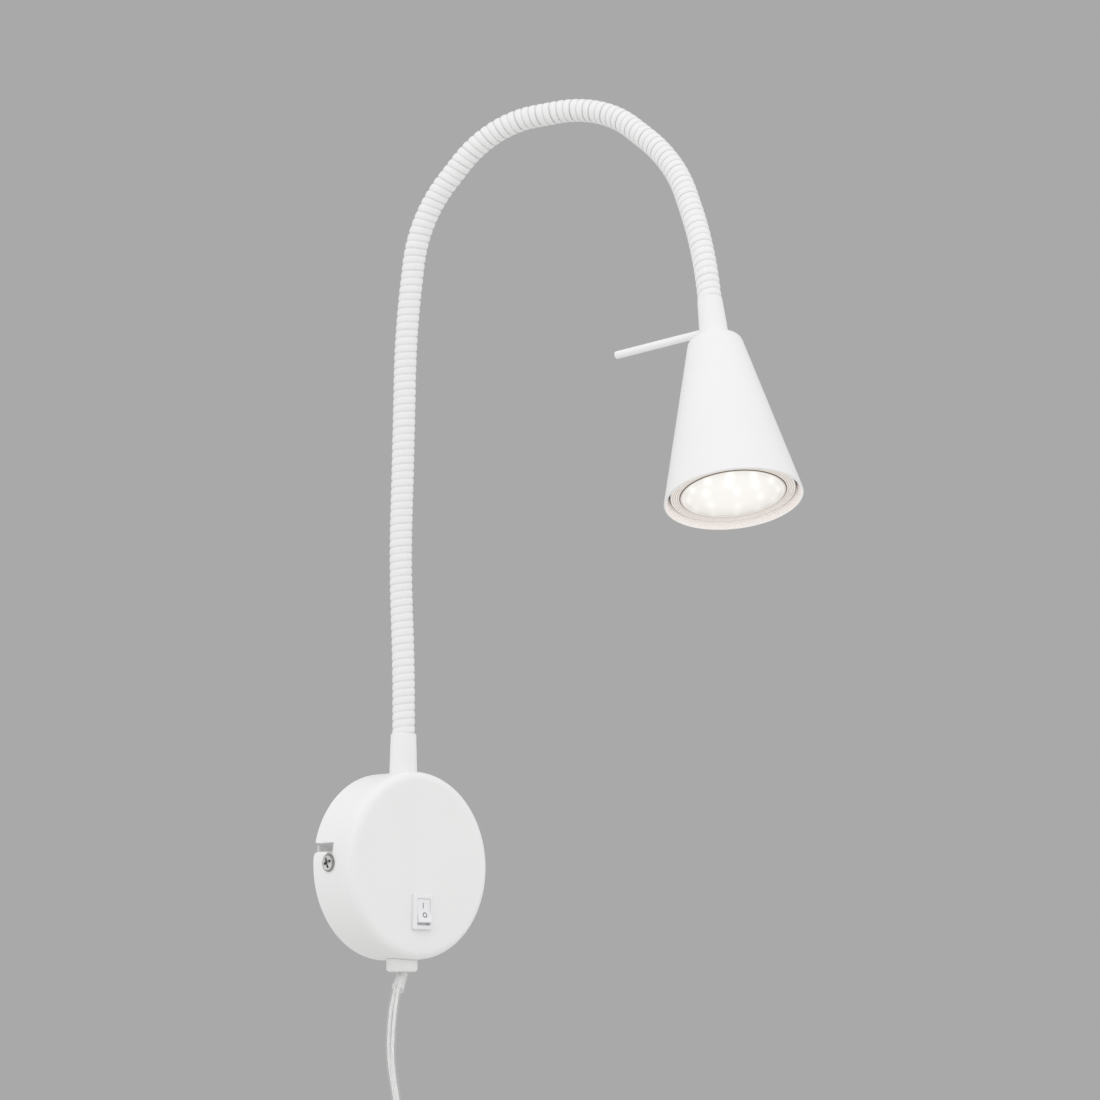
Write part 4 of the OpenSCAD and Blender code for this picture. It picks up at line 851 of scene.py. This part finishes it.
joints_at = arm_line(SEGMENT * np.arange(1, 9))[0]
stated = [joint["pos_m"] for joint in frame["joints"] if joint["name"].startswith("arm_")]
miss = np.linalg.norm(joints_at - np.array(stated) / MM, axis=1).max()
print("largest distance from a joint in the model:", round(float(miss), 3), "mm")

# %% Coated hose
# The soft coat is one even white with an orange peel; its grooves are painted grey as shade,
# darker where the neck bends.
hose_coat, tree = blank("white coating on a wound steel hose")
spot = node(tree, "TexCoord").outputs["Object"]
seam = node(tree, "Attribute", attribute_name="groove").outputs["Fac"]
peel = node(tree, "TexNoise", {"Vector": spot, "Scale": grain(0.8), "Detail": 2.0}).outputs["Fac"]
coat = node(tree, "Mix", {0: seam, 6: colour("#F2F2F2"), 7: colour("#9E9E9E")}, data_type="RGBA")
gloss = node(tree, "MapRange", {"Value": peel, "To Min": 0.32, "To Max": 0.46})
orange_peel = node(tree, "Bump", {"Height": peel, "Strength": 0.1, "Distance": 0.04 * MM})
shader = node(tree, "BsdfPrincipled", {
    "Base Color": coat.outputs[2], "Roughness": gloss.outputs["Result"], "IOR": 1.5,
    "Normal": orange_peel.outputs["Normal"]})
node(tree, "OutputMaterial", {"Surface": shader.outputs["BSDF"]})
print("finish:", hose_coat.name)

# %% Ribs of the hose
HOSE_R, RIB_PITCH, GROOVE_W, GROOVE_D, CROWN = 4.9, 3.27, 0.26, 0.06, 0.42
# For each length of the neck: how far bending opens its grooves, deepening them and darkening their
# painted shade.
GROOVE_OPEN = [0.05, 0.08, 0.05, 0.1, 0.2, 0.65, 1.0, 0.8, 0.4]


def hose(run, columns=56):
    """Tube whose radius depends on how far a point is from the groove of a right-handed helix,
    d = distance of run / pitch - angle / 2 pi from a whole number: R - crown (1 - 2 d)^3 -
    depth exp(-(d pitch / w)^2). The crown is highest between two grooves. Bending works the grooves
    open, by one value for each length of the neck, so there they are deeper. The grooves get a painted
    shade, faint all along, darker where the neck bends and most on its inside. Returns the grid and
    the painted shade of the grooves."""
    angle = all_round(columns)
    wind = run[:, None] / RIB_PITCH - angle[None] / (2 * np.pi)
    d = abs(wind - np.round(wind))
    uneven = 0.7 + 0.3 * np.sin(2.4 * np.round(wind))
    notch = np.exp(-((d * RIB_PITCH / GROOVE_W) ** 2))
    worked = np.interp(run, SEGMENT * (np.arange(9) + 0.5), GROOVE_OPEN)[:, None]
    r = HOSE_R - CROWN * (1 - 2 * d) ** 3 - GROOVE_D * (1 + 2 * worked) * uneven * notch
    points, axes = arm_line(run)
    bend_side, other_side = axes[:, None, :, 0], axes[:, None, :, 1]
    rim = np.cos(angle)[None, :, None] * bend_side + np.sin(angle)[None, :, None] * other_side
    painted_groove_shade = notch * uneven * (0.14 + worked * (0.58 + 0.28 * np.cos(angle)[None]))
    return points[:, None] + r[..., None] * rim, painted_groove_shade


print("ribs along the neck:", round(len(ARM_BEND) * SEGMENT / RIB_PITCH))

# %% Eight lengths of hose
BLEND_REACH, NECK_SPARE, ROWS_PER_RIB = 17.0, 4.0, 13
for k in range(8):
    start = -NECK_SPARE if k == 0 else SEGMENT * (k + 0.5)
    stop = 9 * SEGMENT + NECK_SPARE if k == 7 else SEGMENT * (k + 1.5)
    run = np.linspace(start, stop, int(round((stop - start) / RIB_PITCH * ROWS_PER_RIB)) + 1)
    grid, painted_groove_shade = hose(run)
    solids = [f"gooseneck_{k}"] + (["gooseneck_8"] if k == 7 else [])
    made = piece(f"neck_hose_{k}", grid, hose_coat, None, solids, crease=80)
    shade_value(made, "groove", painted_groove_shade.ravel())
    ends = arm_line([SEGMENT * (k + 1) - BLEND_REACH, SEGMENT * (k + 1) + BLEND_REACH])[0] * MM
    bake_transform(made)

# %% [markdown]
# ## Shade, its ferrule and the handle
#
# The shade is a spun steel cone with a round shoulder and a cut, smoothed rim, and a second ferrule
# joins it to the hose. A thin rod screwed into that ferrule is the handle for aiming the hot lamp. The
# Screw modifier could turn the outlines, but only about an object's own axis. Here they are turned
# about the head's axis, the end of the neck's line, and the objects stay at the origin.

# %% Ferrule at the head
HEAD_FERRULE = 18.5
head_spot, head_axes = (a[0] for a in arm_line([9 * SEGMENT]))
at_neck_end = (head_spot, head_axes)
at_shade = (head_spot + head_axes @ [0, 0, HEAD_FERRULE], head_axes)
outline = rounded([(FERRULE_BORE, 5, 0), (FERRULE_BORE, 0, 0.2), (5.1, 0, 0.18),
                   (6.0, HEAD_FERRULE, 0.15), (5.0, HEAD_FERRULE, 0)])
thread = np.column_stack([THREAD_R, HEAD_FERRULE + 0.2 + np.arange(14) * 0.41])
thread = np.vstack([thread, [0, HEAD_FERRULE + 5.9]])
piece("head_ferrule_turned", [turned(outline, 72, at_neck_end), turned(thread, 48, at_neck_end)],
      enamel, "head", ["head_ferrule"])

# %% Shade, lit inside its mouth
SHADE_LEN, SHADE_TOP_R, SHADE_MOUTH_R, SHADE_WALL, SHOULDER = 72.0, 10.7, 27.8, 1.0, 3.5
STUD_BORE, RIM_ROUND, LIT_DEPTH, LIT_FADE = 4.2, 0.35, 5.0, 2.2
widening = (SHADE_MOUTH_R - SHADE_TOP_R) / SHADE_LEN
inner = SHADE_WALL / math.cos(math.atan(widening))
lit_rows = [(SHADE_MOUTH_R - inner - depth * widening, SHADE_LEN - depth, 0)
            for depth in (LIT_DEPTH - LIT_FADE, LIT_DEPTH)]
outline = rounded([
    (STUD_BORE, 0, 0), (SHADE_TOP_R, 0, SHOULDER), (SHADE_MOUTH_R, SHADE_LEN, RIM_ROUND),
    (SHADE_MOUTH_R - inner, SHADE_LEN, RIM_ROUND), *lit_rows,
    (SHADE_TOP_R + widening * SHADE_WALL - inner, SHADE_WALL, SHOULDER - SHADE_WALL),
    (STUD_BORE, SHADE_WALL, 0), (STUD_BORE, 0, 0)], 10)
shade = piece("shade_spun", turned(outline, 160, at_shade), enamel, "head", ["shade"])
x, y, z = own_points(shade, at_shade).T
inside = np.hypot(x, y) < SHADE_TOP_R + widening * z - inner / 2
shade_value(shade, "spill", np.clip((LIT_DEPTH - SHADE_LEN + z) / LIT_FADE, 0, 1) * inside)

# %% Handle
HANDLE_R, HANDLE_REACH, HANDLE_RISE, HANDLE_TURN = 1.6, 42.5, 4.3, math.radians(-20)
aim = head_axes @ turn_z(HANDLE_TURN)
at_handle = (at_shade[0] - HANDLE_RISE * head_axes[:, 2], aim[:, [1, 2, 0]])
rod = rounded([(HANDLE_R - 0.25, 3.0, 0), (HANDLE_R - 0.25, 5.6, 0), (HANDLE_R, 6.1, 0),
               (HANDLE_R, HANDLE_REACH, 0.9), (0, HANDLE_REACH, 0)], 8)
piece("handle_rod_coated", turned(rod, 40, at_handle), enamel, "head", ["handle_rod"])

# %% [markdown]
# ## Reflector bulb
#
# The bulb is a spot lamp with nineteen light chips behind a clear, lightly stippled lens. The body is
# moulded in white, with a grooved ring set back round the lens, and the lens's edge between them is
# painted brown as a dark line of shade. The lens shows a bright patch over each chip on an even glow.
# Real chips behind real glass would be slow to render, so the glow is a value on each point of the lens,
# the sum of one bell curve for each chip, and the material turns it into light. The lens draws the
# patches out one way and makes them brighter towards one side.

# %% Bulb finishes
# Glass-filled polymer is a warm satin white.
bulb_white = mottled("white glass-filled polymer, moulded", "#EAE6E3", "#F1EEEB", 5, (0.3, 0.42))
# The lacquered ring beside the lens has a faint painted glow, standing for the lens's light, and its
# grooves are painted darker as shade.
ring_glow_and_shade = mottled("lacquered ring, painted glow and groove shade", "#F4EFEB", "#FBF7F4", 3, (0.2, 0.3),
                    painted_shade=("crevice_shade", "#C2B9B1"),
                    sockets={"Emission Color": colour("#FFEEE2"), "Emission Strength": 0.12})
# The lens's edge is a matt brownish line of painted shade.
edge_shade = mottled("brown painted shade at the lens edge", "#8A7E75", "#9C9087", 2, 0.5, sockets={})
# The lens is glossy and dark in itself, and its stipple breaks up the light that it gives.
lens_glow, tree = blank("stippled polycarbonate lens, lit")
spot = node(tree, "TexCoord").outputs["Object"]
glow = node(tree, "Attribute", attribute_name="glow").outputs["Fac"]
stipple = node(tree, "TexNoise", {"Vector": spot, "Scale": grain(1.2), "Detail": 1.0}).outputs["Fac"]
frost = node(tree, "Bump", {"Height": stipple, "Strength": 0.3, "Distance": 0.1 * MM})
light = node(tree, "Mix", {0: glow, 6: colour("#B0A69D"), 7: colour("#FFFDF9")}, data_type="RGBA")
shader = node(tree, "BsdfPrincipled", {
    "Base Color": colour("#3A3937"), "Roughness": 0.25, "IOR": 1.58, "Normal": frost.outputs["Normal"],
    "Emission Color": light.outputs[2], "Emission Strength": 0.95})
node(tree, "OutputMaterial", {"Surface": shader.outputs["BSDF"]})
print("finish:", lens_glow.name)

# %% Bulb body with its grooved ring
BULB_R, BULB_LEN, BULB_RECESS, LENS_R = 24.8, 46.5, 2.0, 21.0
FACE = SHADE_LEN - BULB_RECESS
BASE_OF_BULB, SET_BACK, SEAT = FACE - BULB_LEN, FACE - 0.5, FACE - 2.8
RING_R, SEAT_R = BULB_R - 0.2, LENS_R + 0.35
groove = ((0.2, 0), (0.07, 0.15), (-0.07, 0.15), (-0.2, 0))
grooves = [(r + aside, SET_BACK - drop) for r in (23.9, 23.0, 22.1) for aside, drop in groove]
ring_line = [(RING_R, SET_BACK), *grooves, (LENS_R + 0.6, SET_BACK), (SEAT_R, SET_BACK), (SEAT_R, SEAT)]
outline = rounded([
    (0, BASE_OF_BULB, 0), (12, BASE_OF_BULB, 0.5), (12.6, BASE_OF_BULB + 12, 2), (19.2, FACE - 16, 6),
    (23.2, FACE - 6.5, 4), (BULB_R, FACE - 4, 1), (BULB_R, SET_BACK - 0.2, 0), (RING_R, SET_BACK, 0)], 6)
bulb_body = piece(
    "bulb_body_moulded", [turned(outline, 144, at_shade), turned(ring_line, 144, at_shade)],
    [bulb_white, ring_glow_and_shade], "bulb", ["bulb_body"])
x, y, z = own_points(bulb_body, at_shade).T
out = np.hypot(x, y)
# The ring's grooves and the seat round the lens are painted darker as shade.
in_groove = (z < SET_BACK - TOUCH) * (out < RING_R) + (out < SEAT_R + TOUCH)
shade_value(bulb_body, "crevice_shade", (z > SEAT - TOUCH) * in_groove)

# %% Lens
CHIP_CIRCLES = ((1, 3.5, 207), (6, 11.6, -58), (12, 18.2, -94))
chips = np.vstack([circle(r, count) @ turn_z(math.radians(first))[:2, :2].T
                   for count, r, first in CHIP_CIRCLES])
r = np.concatenate([np.linspace(LENS_R, 0.3, 70), [0]])
dish = np.column_stack([r, FACE - 0.2 + 0.15 * (1 - (r / LENS_R) ** 2)])
# The lens's side, where it meets the ring, is painted brown as shade.
skirt = [(LENS_R + 0.05, FACE - 4.0), (LENS_R + 0.05, FACE - 0.25), (LENS_R - 0.1, FACE - 0.2)]
bulb_lens = piece(
    "bulb_lens_lit", [turned(dish, 180, at_shade), turned(skirt, 180, at_shade)], [lens_glow, edge_shade],
    "bulb", ["bulb_lens"], crease=70)
print("chips behind the lens:", len(chips))

# %% Glow of the lens
BRIGHT_SIDE = turn_z(math.radians(235))[:2, :2]
OUTER_CHIPS = CHIP_CIRCLES[-1][1]
PATCH_LONG, PATCH_WIDE = 3.8, 1.5


def glow_at(flat):
    """Sum over the chips of (0.65 + 0.35 a / 18.2) exp(-(x / 3.8)^2 - (y / 1.5)^2), where a is how far
    the chip lies towards the bright side and x and y are the distances from it along and across that
    way, on a ground that fades towards the rim and away from the bright side, with two moulded rings."""
    d = (flat[:, None] - chips[None]) @ BRIGHT_SIDE
    weight = 0.65 + 0.35 * (chips @ BRIGHT_SIDE[:, 0]) / OUTER_CHIPS
    share = np.linalg.norm(flat, axis=-1) / LENS_R
    ground = 0.66 - 0.5 * np.clip((share - 0.45) / 0.55, 0, 1) ** 1.5
    ground = ground + 0.34 * share * (flat @ BRIGHT_SIDE[:, 0]) / LENS_R
    rings = 0.16 * np.exp(-(((share - 0.9) / 0.014) ** 2)) + 0.5 * np.exp(-(((share - 1) / 0.025) ** 2))
    bell = np.exp(-((d[..., 0] / PATCH_LONG) ** 2) - (d[..., 1] / PATCH_WIDE) ** 2)
    patches = 0.6 * (weight * bell).sum(1)
    return np.clip(0.45 + 0.55 * np.clip(ground + patches, 0, 1) - rings, 0, 1)


glow = glow_at(own_points(bulb_lens, at_shade)[:, :2])
shade_value(bulb_lens, "glow", glow)
print("glow of the lens from", round(glow.min(), 2), "to", round(glow.max(), 2))

# %% [markdown]
# ## Wires inside the canopy
#
# From behind, the open canopy shows its wiring: brown and blue cores of the cord, a black wire from the
# switch and the two leads of the lamp. They are round wires with thin PVC insulation. Curves with a
# bevel could draw them; the sweep that made the cord does too, along the part's own points.

# %% Wire insulation
def satin(name, dark, light):
    """Smooth plastic or paint with a dull gloss and a slightly mottled colour."""
    return mottled(name, dark, light, 1.5, 0.42)


brown_wire = satin("brown PVC insulation", "#5A3520", "#6B4229")
blue_wire = satin("blue PVC insulation", "#2B52A0", "#3661B2")
black_wire = satin("black PVC insulation", "#1C1C1D", "#2A2A2B")
lead_sheath = satin("white PVC sheath", "#DEDEDB", "#E8E8E5")

# %% Wires
CORD_END = np.array(free_points[0])
END_TWIST = math.radians(free_twist[0])


def wire(points, radius=0.9):
    """Round tube on the smooth line through the points, closed at both ends."""
    line = through(points, 10)
    return capped(swept(line, np.broadcast_to([0.8, 0.6, 0.1], line.shape), circle(radius, 16)))


core = CORD_W / 4 * np.array([math.cos(END_TWIST), math.sin(END_TWIST), 0])
live, neutral = ([CORD_END + side * core + [0, 0, 0.3], CORD_END + side * core + [0, 0, 2]]
                 for side in (-1, 1))
live += [(-1, -9, -27.5), (0, -8.8, -26.4), (0, -8.8, -24.7)]
neutral += [(6.5, -9.5, -26), (6.5, -8, -18), (5.1, -6, -6), (4.5, -6, -3.5), (4.5, -6, 3)]
switched = [(0, -8.8, -15.3), (0, -8.8, -13.6), (-3.9, -6, -6), (-4.5, -6, -3.5), (-4.5, -6, 3)]
leads = [wire([(side, -12, 23.7), (side, -12, 22), (side * 3, -9, 17), (side * 4.5, -6, 12),
               (side * 4.5, -6, 5)]) for side in (-1, 1)]
piece("wire_live", wire(live), brown_wire, "base", ["live_wire"])
piece("wire_switched", wire(switched), black_wire, "base", ["switched_wire"])
piece("wire_neutral", wire(neutral), blue_wire, "base", ["neutral_wire"])
piece("wire_leads", leads, [brown_wire, blue_wire], "base", ["lead_cores"])
lead_points, lead_axes = arm_line(np.linspace(-33, 52.5, 60))
piece("lead_in_neck", capped(swept(lead_points, lead_axes[:, :, 0], circle(1.5, 20))), lead_sheath,
      "base", ["arm_lead_0"])

# %% [markdown]
# ## Metal and plastic of the solids that stay
#
# Bracket, nuts, screws, terminals and the lamp holder are out of sight from the front. They could be
# made anew as well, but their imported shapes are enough, so they only get their finishes: zinc-plated
# steel with its faint spangle, brass, white nylon and ivory heat-proof plastic.

# %% Finishes for the carried-over solids
# Zinc plate is a dull pale metal with crystals a few millimetres wide.
zinc, tree = blank("zinc-plated steel")
spot = node(tree, "TexCoord").outputs["Object"]
spangle = node(tree, "TexVoronoi", {"Vector": spot, "Scale": grain(2.5)}).outputs["Distance"]
haze = node(tree, "TexNoise", {"Vector": spot, "Scale": grain(0.7), "Detail": 3.0}).outputs["Fac"]
plate = node(tree, "Mix", {0: spangle, 6: colour("#EEEEED"), 7: colour("#DEDEDD")}, data_type="RGBA")
dull = node(tree, "MapRange", {"Value": haze, "To Min": 0.28, "To Max": 0.48})
shader = node(tree, "BsdfPrincipled", {
    "Base Color": plate.outputs[2], "Metallic": 0.4, "Roughness": dull.outputs["Result"]})
node(tree, "OutputMaterial", {"Surface": shader.outputs["BSDF"]})
# Stamped brass is yellow metal with patches of tarnish.
brass = mottled("stamped contact brass", "#B58F45", "#D8B765", 1.5, 0.3, 3.0, sockets={"Metallic": 1.0})
# Moulded plastics and lacquers are even and satin.
ivory = satin("ivory heat-proof plastic", "#E4DCC6", "#EDE6D3")
phosphor = satin("yellow phosphor over light chips", "#F0D35A", "#F7E08A")
solder_mask = satin("white solder mask", "#ECECE8", "#F4F4F1")
nylon = satin("white nylon, moulded", "#E9E9E6", "#F1F1EE")
finish_of = [
    (zinc, ["wall_bracket", "arm_washer", "arm_nut", "head_nut", "block_screw", "holder_bracket",
            "holder_screws"]),
    (bright_nickel, ["terminal_screws", "bulb_pins"]),
    (brass, ["switch_terminals", "holder_contacts"]),
    (nylon, ["terminal_block", "cord_stop"]),
    (ivory, ["lamp_holder"]),
    (solder_mask, ["led_board"]),
    (phosphor, ["led_chips"]),
    (lead_sheath, [f"arm_lead_{k}" for k in range(1, 9)]),
]
dressed = {name for name, solid in frame["nodes"].items() if solid.hide_render}
for finish, names in finish_of:
    for name in names:
        slots_of_node = frame["nodes"][name].data.materials
        slots_of_node.clear()
        slots_of_node.append(finish)
    dressed |= set(names)
print("nodes with a finish or a piece:", len(dressed), "of", len(frame["nodes"]))

# %% [markdown]
# ## Floor, light and background
#
# The photograph is a cut-out on flat grey, lit from all around. An even white sky over a pale floor
# gives the same: what faces down is a little darker. A soft box adds some modelling, and only rays
# straight from the camera, or by way of a mirror or glass, see the flat grey. The floor lies below the
# plug, out of the picture.

# %% Sky and background
world = bpy.data.worlds.new("studio")
scene.world = world
world.use_nodes = True
tree = world.node_tree
tree.nodes.clear()
sky = node(tree, "Background", {"Color": (1, 1, 1, 1), "Strength": 1.05})
grey = node(tree, "Background", {"Color": colour("#A9A9A9"), "Strength": 1.0})
path = node(tree, "LightPath").outputs
seen = node(tree, "Math", {0: path["Is Camera Ray"], 1: path["Is Glossy Ray"]}, operation="MAXIMUM")
seen = node(tree, "Math", {0: seen.outputs[0], 1: path["Is Transmission Ray"]}, operation="MAXIMUM")
straight = node(tree, "Math", {0: path["Diffuse Depth"], 1: 0.5}, operation="LESS_THAN")
seen = node(tree, "Math", {0: seen.outputs[0], 1: straight.outputs[0]}, operation="MULTIPLY")
both = node(tree, "MixShader", {0: seen.outputs[0], 1: sky.outputs[0], 2: grey.outputs[0]})
node(tree, "OutputWorld", {"Surface": both.outputs[0]})
print("background:", len(tree.nodes), "nodes")

# %% Soft box and floor
BOX_SPOT, BOX_TARGET = np.array([-1.6, -0.9, 1.3]), np.array([0, -0.08, 0.1])
BOX_SIZE, BOX_POWER = 0.4, 2.5
FLOOR_RINGS, FLOOR_GAP = (3000.0, 1500.0, 500.0, 0.0), 2
glow_box = bpy.data.lights.new("soft_box_left", "AREA")
glow_box.size, glow_box.energy = BOX_SIZE, BOX_POWER
soft_box = bpy.data.objects.new("soft_box_left", glow_box)
scene.collection.objects.link(soft_box)
soft_box.location = BOX_SPOT
soft_box.visible_camera = False
x, y, z = unit(BOX_SPOT - BOX_TARGET)
soft_box.rotation_euler = (math.acos(z), 0, math.atan2(y, x) + math.pi / 2)
floor_paint = satin("pale floor paint", "#D4D4D3", "#D9D9D8")
floor_height = cad_box[0][2] / MM - FLOOR_GAP
floor = piece("studio_floor", turned([(r, floor_height) for r in FLOOR_RINGS], 64), floor_paint)
print("lights: 1 soft box and the sky")
